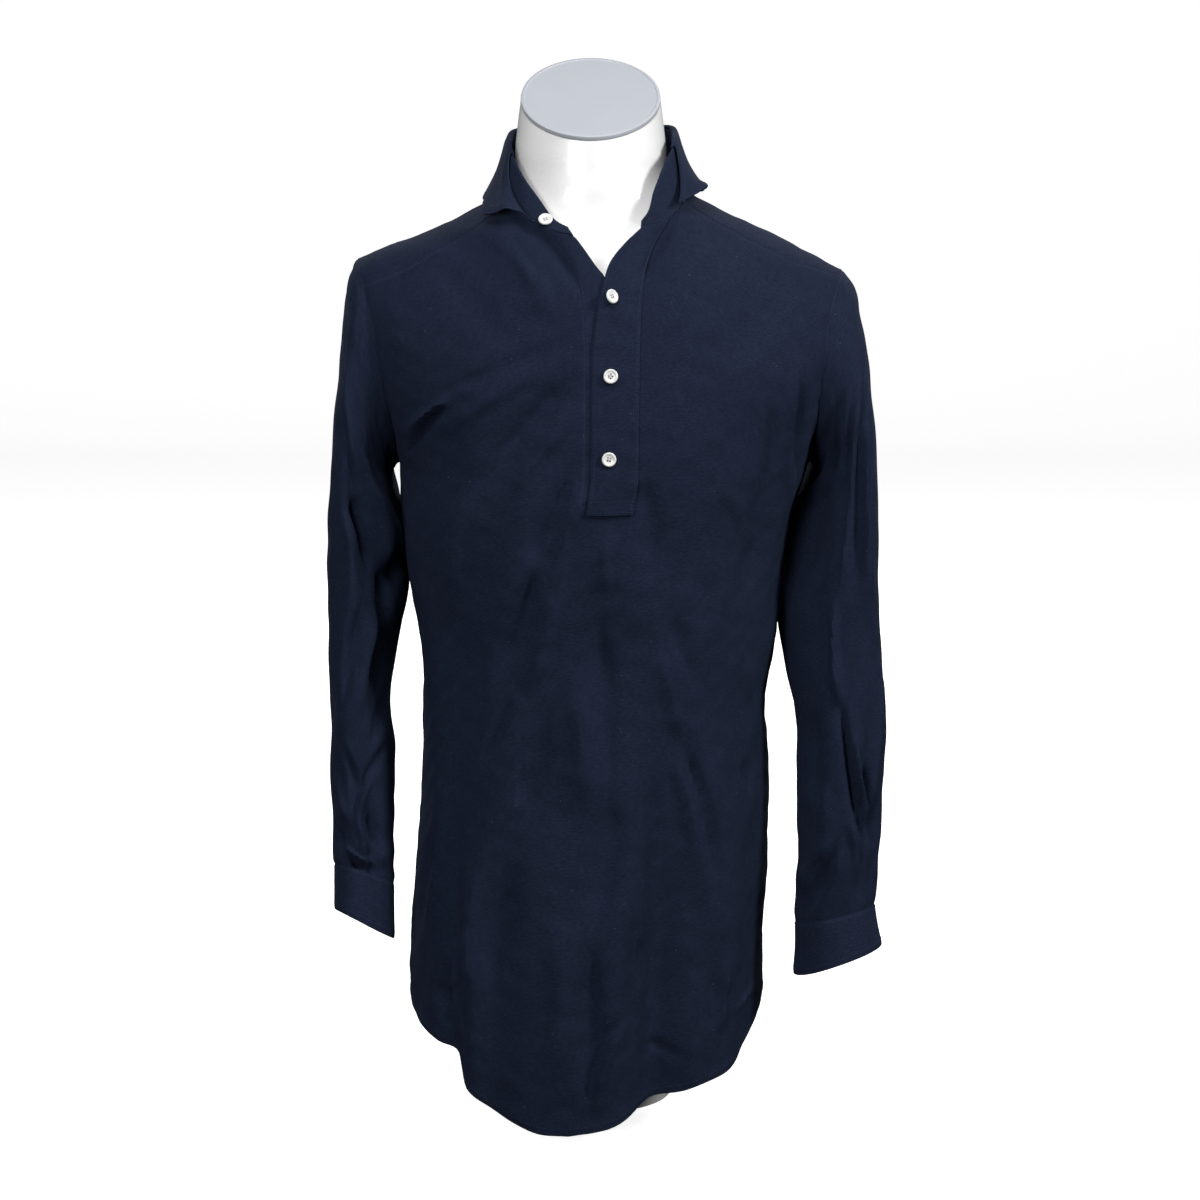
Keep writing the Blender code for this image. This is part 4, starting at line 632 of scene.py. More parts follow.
def addStitches(name, runs, mat, pitch=None, long=None, radius=None):
    # rows of sewn stitches, each a short thread that dips at both ends
    pitch = pitch or stitchLook["pitch"]
    long = long or stitchLook["length"]
    radius = radius or stitchLook["radius"]
    sides = stitchLook["sides"]
    angles = np.linspace(0, 2 * math.pi, sides, endpoint=False)
    verts, faces = [], []
    for line, out in runs:
        step = np.linalg.norm(np.diff(line, axis=0), axis=1)
        at = np.concatenate([[0], np.cumsum(step)])
        count = int(at[-1] / pitch)
        if count < 1:
            continue
        begin = (np.arange(count) + 0.1) * at[-1] / count
        for start in begin:
            t = np.linspace(0, 1, 5)
            place = start + long * t
            p = np.stack([np.interp(place, at, line[:, k]) for k in range(3)], -1)
            n = unit(np.stack([np.interp(place, at, out[:, k]) for k in range(3)], -1))
            along = unit(p[-1] - p[0])
            side = unit(np.cross(n, along[None]))
            lift = radius * np.array([-1.3, 0.3, 0.75, 0.3, -1.3])
            p = p + n * lift[:, None]
            base = len(verts)
            for k in range(5):
                ring = p[k] + radius * (np.outer(np.cos(angles), n[k]) + np.outer(np.sin(angles), side[k]))
                verts.extend(ring.tolist())
            for k in range(4):
                for j in range(sides):
                    i = (j + 1) % sides
                    faces.append((base + k * sides + j, base + k * sides + i,
                                  base + (k + 1) * sides + i, base + (k + 1) * sides + j))
            faces.append(tuple(base + j for j in reversed(range(sides))))
            faces.append(tuple(base + 4 * sides + j for j in range(sides)))
    return addMesh(name, verts, faces, mat, sharp=60)


# ---- materials -------------------------------------------------------------------
class Wire:
    # a socket that can be used in an expression
    def __init__(self, graph, socket):
        self.graph = graph
        self.socket = socket

    def __add__(self, other):
        return self.graph.maths("ADD", self, other)

    def __radd__(self, other):
        return self.graph.maths("ADD", other, self)

    def __sub__(self, other):
        return self.graph.maths("SUBTRACT", self, other)

    def __rsub__(self, other):
        return self.graph.maths("SUBTRACT", other, self)

    def __mul__(self, other):
        return self.graph.maths("MULTIPLY", self, other)

    def __rmul__(self, other):
        return self.graph.maths("MULTIPLY", other, self)

    def __truediv__(self, other):
        return self.graph.maths("DIVIDE", self, other)

    def __pow__(self, other):
        return self.graph.maths("POWER", self, other)


class Graph:
    def __init__(self, name):
        self.mat = bpy.data.materials.new(name)
        self.mat.use_nodes = True
        self.tree = self.mat.node_tree
        self.shader = self.tree.nodes["Principled BSDF"]

    def put(self, socket, value):
        if isinstance(value, Wire):
            self.tree.links.new(value.socket, socket)
        elif value is not None:
            socket.default_value = value

    def node(self, kind, settings=None, sockets=None, out=0):
        made = self.tree.nodes.new(kind)
        for key, value in (settings or {}).items():
            if key == "stops":
                while len(made.color_ramp.elements) < len(value):
                    made.color_ramp.elements.new(0.5)
                for element, (place, color) in zip(made.color_ramp.elements, value):
                    element.position = place
                    element.color = color
            else:
                setattr(made, key, value)
        for key, value in (sockets or {}).items():
            self.put(made.inputs[key], value)
        return Wire(self, made.outputs[out])

    def maths(self, operation, a, b=None, c=None):
        sockets = {k: v for k, v in ((0, a), (1, b), (2, c)) if v is not None}
        return self.node("ShaderNodeMath", {"operation": operation}, sockets)

    def mix(self, factor, a, b, blend="MIX"):
        return self.node("ShaderNodeMix", {"data_type": "RGBA", "blend_type": blend},
                         {0: factor, 6: a, 7: b}, out=2)

    def clamp(self, value, low, high):
        return self.node("ShaderNodeMapRange", {}, {0: value, 1: low, 2: high})

    def finish(self, **values):
        for key, value in values.items():
            self.put(self.shader.inputs[key.replace("_", " ")], value)
        return self.mat


knit = {
    "base": (0.0060, 0.0092, 0.0215, 1),
    "faded": (0.0190, 0.0270, 0.0540, 1),
    "lint": (0.17, 0.17, 0.20, 1),
    "stitch": 0.0011,       # size of one knit cell
    "bump": 0.00022,
}


def knitMaterial(name, turn=0.0, light=1.0):
    g = Graph(name)
    uv = g.node("ShaderNodeUVMap", {"uv_map": "cloth"})
    uv = g.node("ShaderNodeMapping", {}, {"Vector": uv, "Rotation": (0, 0, math.radians(turn))})
    parts = g.node("ShaderNodeSeparateXYZ", {}, {0: uv})
    u = parts
    v = Wire(g, parts.socket.node.outputs[1])
    wobble = g.node("ShaderNodeTexNoise", {}, {"Vector": uv, "Scale": 240.0, "Detail": 1.0})
    u = u + (wobble - 0.5) * 0.0005
    cell = 2 * math.pi / knit["stitch"]
    rib = g.maths("SINE", u * cell)
    rung = g.maths("SINE", v * (cell * 0.82))
    weave = g.maths("ABSOLUTE", rib * rung) ** 0.6
    fuzz = g.node("ShaderNodeTexNoise", {}, {"Vector": uv, "Scale": 2600.0, "Detail": 2.0})
    cloud = g.node("ShaderNodeTexNoise", {}, {"Vector": uv, "Scale": 14.0, "Detail": 4.0, "Roughness": 0.6})
    patchy = g.node("ShaderNodeTexNoise", {}, {"Vector": uv, "Scale": 90.0, "Detail": 3.0, "Roughness": 0.6})
    long = g.node("ShaderNodeMapping", {}, {"Vector": uv, "Scale": (230.0, 760.0, 1.0)})
    slub = g.node("ShaderNodeTexNoise", {}, {"Vector": long, "Scale": 1.0, "Detail": 2.0, "Roughness": 0.65})
    fadeMask = (g.clamp(cloud, 0.40, 0.72) * 0.08 + g.clamp(patchy, 0.40, 0.75) * 0.14
                + weave * 0.24 + g.clamp(fuzz, 0.35, 0.65) * 0.20 + g.clamp(slub, 0.36, 0.66) * 0.34)
    worn = g.node("ShaderNodeAttribute", {"attribute_name": "wear"}, {}, out=2)
    edge = g.clamp(worn + (patchy - 0.5) * 0.5, 0.45, 1.0) * 0.3
    color = g.mix(g.maths("MINIMUM", fadeMask * light + edge, 1.0), knit["base"], knit["faded"])
    specks = g.node("ShaderNodeTexVoronoi", {"feature": "F1"}, {"Vector": uv, "Scale": 210.0, "Randomness": 1.0})
    chosen = g.node("ShaderNodeTexNoise", {}, {"Vector": uv, "Scale": 55.0, "Detail": 0.0})
    lint = (1 - g.clamp(specks, 0.045, 0.085)) * g.clamp(chosen, 0.64, 0.68)
    color = g.mix(lint * 0.55, color, knit["lint"])
    height = weave * 0.8 + fuzz * 0.55 + slub * 0.7
    bump = g.node("ShaderNodeBump", {}, {"Strength": 0.8, "Distance": knit["bump"], "Height": height})
    return g.finish(Base_Color=color, Roughness=0.88 + fuzz * 0.1, Normal=bump,
                    Sheen_Weight=0.03, Sheen_Roughness=0.4, Sheen_Tint=(0.35, 0.45, 0.9, 1),
                    Specular_IOR_Level=0.06)


clothBody = knitMaterial("navyKnitBody")
clothSleeve = knitMaterial("navyKnitSleeve", 4.0)
clothTrim = knitMaterial("navyKnitTrim", 0.0, 1.1)
g = Graph("navyThread")
spot = g.node("ShaderNodeTexCoord", {}, {}, out=3)
ply = g.node("ShaderNodeTexNoise", {}, {"Vector": spot, "Scale": 900.0, "Detail": 1.0})
threadMat = g.finish(Base_Color=g.mix(ply, (0.012, 0.017, 0.036, 1), (0.030, 0.040, 0.075, 1)),
                     Roughness=0.6 + ply * 0.2, Specular_IOR_Level=0.15)
print("materials made")

# ---- body panels -----------------------------------------------------------------
under = placketEdges(underRows, stationsAt["slotLeft"], 0.0)
over = placketEdges(overRows, stationsAt["slotRight"], stationsAt["end"])
yokeCoarse = yokeNumbers()
frontCoarse = frontNumbers(yokeCoarse, under, over)
backCoarse = backNumbers()
rowStep, colStep = shirt["rowStep"], shirt["colStep"]

frontN = refine(frontCoarse, (0, 16, 17, 26), (0, 7, 11, 15, 18, 25), rowStep, colStep)
backN = refine(backCoarse, (0, 17, 26), (0, 20), rowStep, colStep)
yokeN = refine(yokeCoarse, (0, 7), (0, 5, 25, 30), rowStep, colStep)

frontP = clothAt(frontN[..., 0], frontN[..., 1])
backP = clothAt(backN[..., 0], backN[..., 1])
yokeP = clothAt(yokeN[..., 0], yokeN[..., 1])


def clothNormal(angle, rise):
    eps = 0.004
    du = clothAt(angle + 0.6, rise) - clothAt(angle - 0.6, rise)
    dv = clothAt(angle, rise + eps) - clothAt(angle, rise - eps)
    return unit(np.cross(du, dv))


frontOut = clothNormal(frontN[..., 0], frontN[..., 1])
backOut = clothNormal(backN[..., 0], backN[..., 1])
yokeOut = clothNormal(yokeN[..., 0], yokeN[..., 1])
hemLook = {"deep": 0.0075, "proud": 0.0005}
for panel, out in ((frontP, frontOut), (backP, backOut)):  # the turned-up hem is double
    up = np.linalg.norm(panel[:6] - panel[:1], axis=-1, keepdims=True)
    panel[:6] += out[:6] * hemLook["proud"] * (1 - fade(up, hemLook["deep"] * 0.8, hemLook["deep"] * 1.2))
slotRow, slotLeft, slotRight = 16 * rowStep, 11 * colStep, 15 * colStep
armpitRow = 17 * rowStep
print("body surfaces made", frontP.shape, backP.shape, yokeP.shape)

# ---- sleeves ---------------------------------------------------------------------
# from the armhole down: inner x z, outer x z, centre y, front, back, forward tilt,
# share of the armhole's shape, how far the inner edge lies behind the centre
sleeves = {
    "left": {
        "side": -1, "rises": leftRises, "yoke": yokeCut["frontLeft"],
        "rows": (
            (-0.1600, 0.5550, -0.1960, 0.7195, 0.006, 0.072, 0.070, 0, 1.00, 0.000),
            (-0.1660, 0.5500, -0.2015, 0.7080, 0.006, 0.073, 0.071, 0, 0.70, 0.002),
            (-0.1685, 0.5430, -0.2045, 0.6860, 0.006, 0.073, 0.072, 0, 0.45, 0.005),
            (-0.1680, 0.5300, -0.2070, 0.6500, 0.006, 0.072, 0.073, 1, 0.20, 0.012),
            (-0.1630, 0.5130, -0.2105, 0.6100, 0.006, 0.070, 0.072, 2, 0.05, 0.020),
            (-0.1580, 0.4930, -0.2140, 0.5650, 0.006, 0.068, 0.070, 3, 0.00, 0.026),
            (-0.1585, 0.4680, -0.2180, 0.5150, 0.004, 0.066, 0.068, 4, 0.00, 0.022),
            (-0.1562, 0.4440, -0.2205, 0.4680, 0.001, 0.064, 0.066, 6, 0.00, 0.014),
            (-0.1660, 0.4000, -0.2205, 0.4200, -0.004, 0.062, 0.064, 9, 0.00, 0.006),
            (-0.1719, 0.3550, -0.2205, 0.3720, -0.012, 0.060, 0.061, 12, 0.00, 0.000),
            (-0.1672, 0.3180, -0.2192, 0.3290, -0.021, 0.058, 0.058, 15, 0.00, 0.000),
            (-0.1675, 0.2820, -0.2188, 0.2890, -0.030, 0.055, 0.055, 17, 0.00, 0.000),
            (-0.1678, 0.2480, -0.2175, 0.2565, -0.040, 0.053, 0.053, 19, 0.00, 0.000),
            (-0.1672, 0.2230, -0.2166, 0.2370, -0.048, 0.049, 0.050, 20, 0.00, 0.000),
            (-0.1664, 0.2060, -0.2156, 0.2226, -0.055, 0.044, 0.045, 20, 0.00, 0.000),
        ),
        "cuff": (
            (-0.1664, 0.2060, -0.2156, 0.2226, -0.055, 0.044, 0.045, 20, 0.00, 0.000),
            (-0.1663, 0.1840, -0.2154, 0.2041, -0.060, 0.045, 0.046, 20, 0.00, 0.000),
            (-0.1657, 0.1615, -0.2151, 0.1868, -0.066, 0.046, 0.047, 20, 0.00, 0.000),
        ),
        # turn round the sleeve and share of its length at both ends, half width, height
        "folds": (
            (120, 0.25, 78, 0.55, 0.010, -0.0050), (95, 0.22, 52, 0.50, 0.012, 0.0045),
            (60, 0.25, 30, 0.52, 0.009, -0.0035), (100, 0.50, 110, 0.80, 0.012, 0.0035),
            (74, 0.80, 62, 1.02, 0.009, -0.0070), (92, 0.76, 88, 0.97, 0.010, 0.0040),
            (46, 0.78, 44, 0.97, 0.009, 0.0040), (130, 0.72, 125, 0.95, 0.010, -0.0030),
            (255, 0.30, 290, 0.60, 0.012, -0.0045), (300, 0.28, 320, 0.58, 0.011, 0.0040),
            (250, 0.78, 255, 1.00, 0.010, -0.0050), (285, 0.76, 282, 0.98, 0.010, 0.0040),
        ),
        # x and height at three points, half width, height
        "creases": (
            (-0.168, 0.490, -0.172, 0.420, -0.176, 0.345, 0.0075, -0.0050),
            (-0.196, 0.665, -0.195, 0.597, -0.195, 0.540, 0.0045, 0.0018),
            (-0.195, 0.538, -0.187, 0.503, -0.175, 0.459, 0.0060, -0.0055),
            (-0.201, 0.531, -0.196, 0.482, -0.197, 0.415, 0.0060, 0.0022),
            (-0.178, 0.556, -0.169, 0.507, -0.159, 0.461, 0.0065, 0.0030),
            (-0.186, 0.457, -0.197, 0.407, -0.207, 0.348, 0.0060, -0.0022),
            (-0.174, 0.449, -0.186, 0.398, -0.199, 0.331, 0.0070, 0.0022),
            (-0.170, 0.373, -0.175, 0.348, -0.184, 0.326, 0.0045, -0.0016),
            (-0.210, 0.339, -0.194, 0.297, -0.200, 0.266, 0.0045, -0.0022),
            (-0.169, 0.331, -0.181, 0.309, -0.196, 0.284, 0.0040, -0.0024),
            (-0.176, 0.314, -0.186, 0.292, -0.193, 0.269, 0.0035, 0.0016),
            (-0.202, 0.243, -0.191, 0.229, -0.177, 0.216, 0.0040, -0.0034),
            (-0.205, 0.252, -0.192, 0.240, -0.176, 0.226, 0.0040, 0.0022),
            (-0.186, 0.278, -0.178, 0.260, -0.172, 0.238, 0.0045, -0.0028),
            (-0.193, 0.279, -0.188, 0.255, -0.184, 0.236, 0.0040, 0.0018),
            (-0.214, 0.266, -0.207, 0.247, -0.201, 0.231, 0.0035, -0.0018),
            (-0.214, 0.305, -0.205, 0.286, -0.203, 0.262, 0.0040, 0.0016),
        ),
    },
    "right": {
        "side": 1, "rises": rightRises, "yoke": yokeCut["frontRight"],
        "rows": (
            (0.1800, 0.5550, 0.2080, 0.7140, 0.006, 0.072, 0.070, 0, 1.00, 0.000),
            (0.1845, 0.5500, 0.2175, 0.7000, 0.006, 0.072, 0.071, 0, 0.70, 0.002),
            (0.1855, 0.5430, 0.2225, 0.6760, 0.006, 0.071, 0.072, 0, 0.45, 0.006),
            (0.1800, 0.5300, 0.2280, 0.6400, 0.006, 0.068, 0.073, 1, 0.20, 0.014),
            (0.1715, 0.5120, 0.2315, 0.5980, 0.007, 0.065, 0.072, 1, 0.05, 0.026),
            (0.1650, 0.4890, 0.2350, 0.5500, 0.007, 0.063, 0.070, 2, 0.00, 0.030),
            (0.1598, 0.4600, 0.2370, 0.5000, 0.005, 0.062, 0.068, 3, 0.00, 0.028),
            (0.1575, 0.4270, 0.2385, 0.4500, 0.001, 0.062, 0.066, 4, 0.00, 0.020),
            (0.1635, 0.3850, 0.2425, 0.4000, -0.004, 0.062, 0.064, 6, 0.00, 0.010),
            (0.1722, 0.3420, 0.2462, 0.3520, -0.012, 0.061, 0.062, 8, 0.00, 0.003),
            (0.1735, 0.3020, 0.2462, 0.3130, -0.020, 0.060, 0.060, 10, 0.00, 0.000),
            (0.1735, 0.2700, 0.2440, 0.2810, -0.026, 0.058, 0.057, 11, 0.00, 0.000),
            (0.1748, 0.2370, 0.2430, 0.2520, -0.033, 0.055, 0.054, 12, 0.00, 0.000),
            (0.1741, 0.2020, 0.2400, 0.2190, -0.040, 0.050, 0.050, 12, 0.00, 0.000),
            (0.1717, 0.1686, 0.2382, 0.1862, -0.045, 0.046, 0.046, 12, 0.00, 0.000),
        ),
        "cuff": (
            (0.1717, 0.1686, 0.2382, 0.1862, -0.045, 0.046, 0.046, 12, 0.00, 0.000),
            (0.1717, 0.1478, 0.2406, 0.1699, -0.049, 0.047, 0.047, 12, 0.00, 0.000),
            (0.1700, 0.1261, 0.2443, 0.1536, -0.053, 0.048, 0.048, 12, 0.00, 0.000),
        ),
        "folds": (
            (60, 0.12, 52, 0.50, 0.016, -0.0080), (98, 0.12, 88, 0.55, 0.011, 0.0050),
            (138, 0.18, 132, 0.55, 0.010, 0.0035), (118, 0.18, 112, 0.50, 0.009, -0.0035),
            (122, 0.60, 118, 1.02, 0.009, -0.0060), (146, 0.64, 140, 1.02, 0.008, -0.0045),
            (132, 0.60, 128, 0.97, 0.007, 0.0040), (50, 0.74, 80, 0.95, 0.012, 0.0030),
            (250, 0.28, 285, 0.60, 0.013, -0.0050), (300, 0.25, 315, 0.55, 0.011, 0.0045),
            (240, 0.70, 245, 1.00, 0.010, -0.0050), (272, 0.72, 270, 0.98, 0.010, 0.0040),
        ),
        "creases": (
            (0.205, 0.630, 0.190, 0.530, 0.180, 0.430, 0.0130, -0.0022),
            (0.213, 0.670, 0.211, 0.568, 0.202, 0.431, 0.0050, 0.0026),
            (0.221, 0.598, 0.221, 0.547, 0.227, 0.414, 0.0045, 0.0016),
            (0.207, 0.612, 0.207, 0.547, 0.197, 0.448, 0.0060, -0.0022),
            (0.200, 0.456, 0.199, 0.402, 0.206, 0.353, 0.0050, 0.0028),
            (0.204, 0.372, 0.213, 0.304, 0.231, 0.235, 0.0042, -0.0044),
            (0.213, 0.364, 0.221, 0.295, 0.230, 0.261, 0.0045, 0.0022),
            (0.223, 0.317, 0.231, 0.278, 0.234, 0.236, 0.0036, -0.0032),
            (0.211, 0.278, 0.217, 0.243, 0.216, 0.209, 0.0050, 0.0016),
            (0.202, 0.259, 0.191, 0.222, 0.178, 0.184, 0.0060, -0.0022),
            (0.192, 0.261, 0.183, 0.226, 0.175, 0.196, 0.0060, 0.0018),
            (0.234, 0.414, 0.239, 0.347, 0.238, 0.278, 0.0040, 0.0014),
            (0.182, 0.364, 0.183, 0.312, 0.187, 0.252, 0.0070, -0.0016),
        ),
    },
}
sleeveShape = {"steps": 128, "cuffSteps": 14, "cuffWall": 0.0022}


def sleeveRing(row, turns, arm=None, base=None):
    ux, uz, ox, oz, yc, front, back, tilt, share, skew = row
    inner = np.array([ux, yc + skew, uz])
    outer = np.array([ox, yc - skew, oz])
    middle = (inner + outer) / 2
    e1 = unit(outer - inner)
    r1 = np.linalg.norm(outer - inner) / 2
    lean = math.radians(tilt)
    e2 = np.array([0.0, -math.cos(lean), math.sin(lean)])
    c = np.cos(np.radians(turns))
    s = np.sin(np.radians(turns))
    depth = np.where(s > 0, front, back)
    c = np.sign(c) * np.abs(c) ** 0.9
    s = np.sign(s) * np.abs(s) ** 0.9
    points = middle - np.outer(c * r1, e1) + np.outer(s * depth, e2)
    if arm is not None and share > 0:
        points = points + share * (arm - base)
    return points


def sleeveSurface(cut, armCoarse, armFine):
    chord = np.linalg.norm(np.roll(armCoarse, -1, axis=0) - armCoarse, axis=1)
    coarseTurns = 360 * np.concatenate([[0], np.cumsum(chord)]) / chord.sum()
    stepsAround = len(armFine) // len(armCoarse)
    turns = np.interp(np.arange(len(armFine)) / stepsAround, np.arange(len(coarseTurns)), coarseTurns)
    rows = cut["rows"]
    base = sleeveRing(rows[0], turns)
    data = np.array(rows, dtype=float)
    place = np.arange(len(rows)) / (len(rows) - 1)
    share = np.linspace(0, 1, sleeveShape["steps"] + 1)
    grid = []
    for s in share:
        row = [float(smooth(s, place, data[:, k])) for k in range(10)]
        row[8] = min(max(row[8], 0.0), 1.0)
        grid.append(sleeveRing(row, turns, armFine, base))
    grid[0] = armFine.copy()
    grid = np.array(grid)
    middle = grid.mean(axis=1, keepdims=True)
    axis = unit(np.gradient(middle[:, 0], axis=0))[:, None]
    out = unit(np.cross(np.roll(grid, -1, axis=1) - np.roll(grid, 1, axis=1), axis))
    out = out * np.sign(np.sum(out * (grid - middle), axis=-1, keepdims=True).mean())
    around = np.linalg.norm(np.roll(grid, -1, axis=1) - grid, axis=2).sum(axis=1)
    for t1, s1, t2, s2, width, height in cut["folds"]:
        line = np.interp(share, (s1, s2), (t1, t2))
        away = (turns[None] - line[:, None] + 180) % 360 - 180
        across = away / 360 * around[:, None] / width
        mid = (s1 + s2) / 2
        along = fade(share, s1, s1 + 0.5 * (mid - s1)) * fade(share, s2, s2 - 0.5 * (s2 - mid))
        grid = grid + out * (height * np.exp(-across**2) * along[:, None])[..., None]
    towards = fade(-out[..., 1], -0.10, 0.25)
    ends = (fade(share, 0, 0.05) * fade(1 - share, 0, 0.02))[:, None]
    u = turns[None] / 360 * around[:, None]
    v = np.broadcast_to((share * 0.45)[:, None], u.shape)
    height = creaseHeight(grid[..., 0], grid[..., 2], cut["creases"]) * towards
    height = height + shirt["ripple"] * (waves(u, v, 0.030, 11) + 1.5 * waves(u, v, 0.07, 12))
    grid = grid + out * (height * ends)[..., None]
    cuffData = np.array(cut["cuff"], dtype=float)
    spots = np.linspace(0, 2, sleeveShape["cuffSteps"] + 1)
    cuff = np.array([sleeveRing([float(smooth(s, (0, 1, 2), cuffData[:, k])) for k in range(10)], turns)
                     for s in spots])
    fadeDown = (1 - fade(spots, 0, 1.2))[:, None, None]
    cuff = cuff + (grid[-1] - cuff[0])[None] * fadeDown
    return grid, cuff


sleeveParts = {}
for word, cut in sleeves.items():
    coarse = armLoop(cut["rises"], cut["side"], cut["yoke"])
    fineLoop = refineAxis(coarse, (0, 9, 14, 23), rowStep)[:-1]
    armCoarse = clothAt(coarse[:-1, 0], coarse[:-1, 1], fine=False)
    armP = clothAt(fineLoop[:, 0], fineLoop[:, 1])
    armOut = clothNormal(fineLoop[:, 0], fineLoop[:, 1])
    grid, cuff = sleeveSurface(cut, armCoarse, armP)
    if cut["side"] > 0:
        grid, cuff, armOut = grid[:, ::-1], cuff[:, ::-1], armOut[::-1]
    tube = np.concatenate([grid, cuff[1:]])
    normal = gridNormals(tube, closed=True)
    ahead = unit(np.cross(np.roll(grid[0], -1, 0) - np.roll(grid[0], 1, 0), grid[1] - grid[0]))
    shared = mitre(armOut, ahead)
    normal[0] = shared
    sleeveParts[word] = (grid, cuff, normal, shared[::-1] if cut["side"] > 0 else shared)

for word, cut in sleeves.items():
    shared = sleeveParts[word][3]
    side = cut["side"]
    top = 9 * rowStep
    frontOut[armpitRow:, 0 if side < 0 else -1] = shared[:top + 1]
    overPart = shared[top:top + 5 * rowStep + 1]
    fineCols = np.linspace(0, 5 * rowStep, 5 * colStep + 1)
    overPart = unit(np.stack([np.interp(fineCols, np.arange(len(overPart)), overPart[:, k]) for k in range(3)], -1))
    if side < 0:
        yokeOut[-1, :5 * colStep + 1] = overPart
    else:
        yokeOut[-1, -5 * colStep - 1:] = overPart[::-1]
    tail = np.concatenate([shared[:1], shared[14 * rowStep:][::-1]])
    backOut[armpitRow:, -1 if side < 0 else 0] = tail
print("sleeve surfaces made")

# ---- collar ----------------------------------------------------------------------
# neckline station, top edge of the stand x y z, edge of the leaf x y z
collarRows = (
    (0.0, -0.0185, -0.0700, 0.7510, -0.0500, -0.0800, 0.7620),
    (1.0, -0.0300, -0.0640, 0.7580, -0.0500, -0.0800, 0.7620),
    (2.0, -0.0425, -0.0540, 0.7740, -0.0515, -0.0790, 0.7620),
    (3.0, -0.0570, -0.0400, 0.7930, -0.0525, -0.0740, 0.7620),
    (3.7, -0.0645, -0.0240, 0.8060, -0.0530, -0.0700, 0.7615),
    (4.1, -0.0665, -0.0155, 0.8105, -0.0670, -0.0680, 0.7655),
    (4.5, -0.0675, -0.0060, 0.8140, -0.0780, -0.0620, 0.7620),
    (4.9, -0.0680, 0.0015, 0.8160, -0.0860, -0.0500, 0.7610),
    (5.5, -0.0680, 0.0130, 0.8185, -0.0880, -0.0240, 0.7680),
    (7.0, -0.0640, 0.0390, 0.8250, -0.0865, 0.0330, 0.7740),
    (8.5, -0.0460, 0.0600, 0.8270, -0.0640, 0.0800, 0.7760),
    (10.0, 0.0000, 0.0700, 0.8280, 0.0000, 0.0930, 0.7780),
    (11.5, 0.0470, 0.0610, 0.8280, 0.0660, 0.0800, 0.7770),
    (13.0, 0.0650, 0.0400, 0.8280, 0.0890, 0.0320, 0.7770),
    (14.5, 0.0680, 0.0130, 0.8225, 0.0905, -0.0180, 0.7790),
    (15.5, 0.0670, -0.0060, 0.8185, 0.0890, -0.0480, 0.7795),
    (16.3, 0.0660, -0.0240, 0.8120, 0.0690, -0.0640, 0.7700),
    (17.0, 0.0600, -0.0400, 0.8030, 0.0690, -0.0660, 0.7690),
    (18.0, 0.0510, -0.0560, 0.7820, 0.0690, -0.0670, 0.7690),
    (19.0, 0.0465, -0.0680, 0.7660, 0.0690, -0.0670, 0.7690),
    (20.0, 0.0390, -0.0730, 0.7560, 0.0690, -0.0670, 0.7690),
)
collarLook = {"standWall": 0.0024, "leafWall": 0.0020, "leafStart": 3.7, "leafEnd": 16.3,
              "standRows": 12, "leafRows": 22}


def collarCurves(stations):
    s = column(collarRows, 0)
    numbers = neckPoint(stations)
    foot = clothAt(numbers[:, 0], numbers[:, 1])
    top = np.stack([smooth(stations, s, column(collarRows, k)) for k in (1, 2, 3)], -1)
    edge = np.stack([smooth(stations, s, column(collarRows, k)) for k in (4, 5, 6)], -1)
    return foot, top, edge


coarseStations = np.concatenate([
    np.linspace(0, stationsAt["slotLeft"], 4)[:-1],
    np.linspace(stationsAt["slotLeft"], stationsAt["yokeLeft"], 5)[:-1],
    yokeStations(),
    np.linspace(stationsAt["yokeRight"], stationsAt["slotRight"], 4)[1:],
    np.linspace(stationsAt["slotRight"], stationsAt["end"], 4)[1:]])
stations = refineAxis(coarseStations[:, None], (0, 3, 7, 12, 32, 37, 40, 43), colStep)[:, 0]
foot, standTop, leafEdge = collarCurves(stations)
lift = unit(standTop - foot)
foot = foot + lift * 0.0002
w = np.linspace(0, 1, collarLook["standRows"] + 1)[:, None, None]
stand = foot[None] * (1 - w) + standTop[None] * w
standOut = -gridNormals(stand)
neckNumbers = neckPoint(stations)
neckOut = clothNormal(neckNumbers[:, 0], neckNumbers[:, 1])
bendsBack = np.sum(lift * neckOut, axis=-1, keepdims=True) < 0.15
joined = mitre(neckOut, standOut[0])
neckOut = np.where(bendsBack, joined, neckOut)
standOut[0] = np.where(bendsBack, joined, standOut[0])
first = 3 * colStep
second = first + 4 * colStep
third = second + 30 * colStep
fourth = third + 3 * colStep
frontOut[-1, 7 * colStep:slotLeft + 1] = neckOut[first:second + 1][::-1]
frontOut[-1, slotRight:slotRight + fourth - third + 1] = neckOut[third:fourth + 1][::-1]
yokeOut[0] = neckOut[second:third + 1]
underTop = neckOut[:first + 1][::-1]
overTop = neckOut[fourth:][::-1]


def bezier(a, b, c, t):
    return a * (1 - t) ** 2 + b * 2 * t * (1 - t) + c * t**2


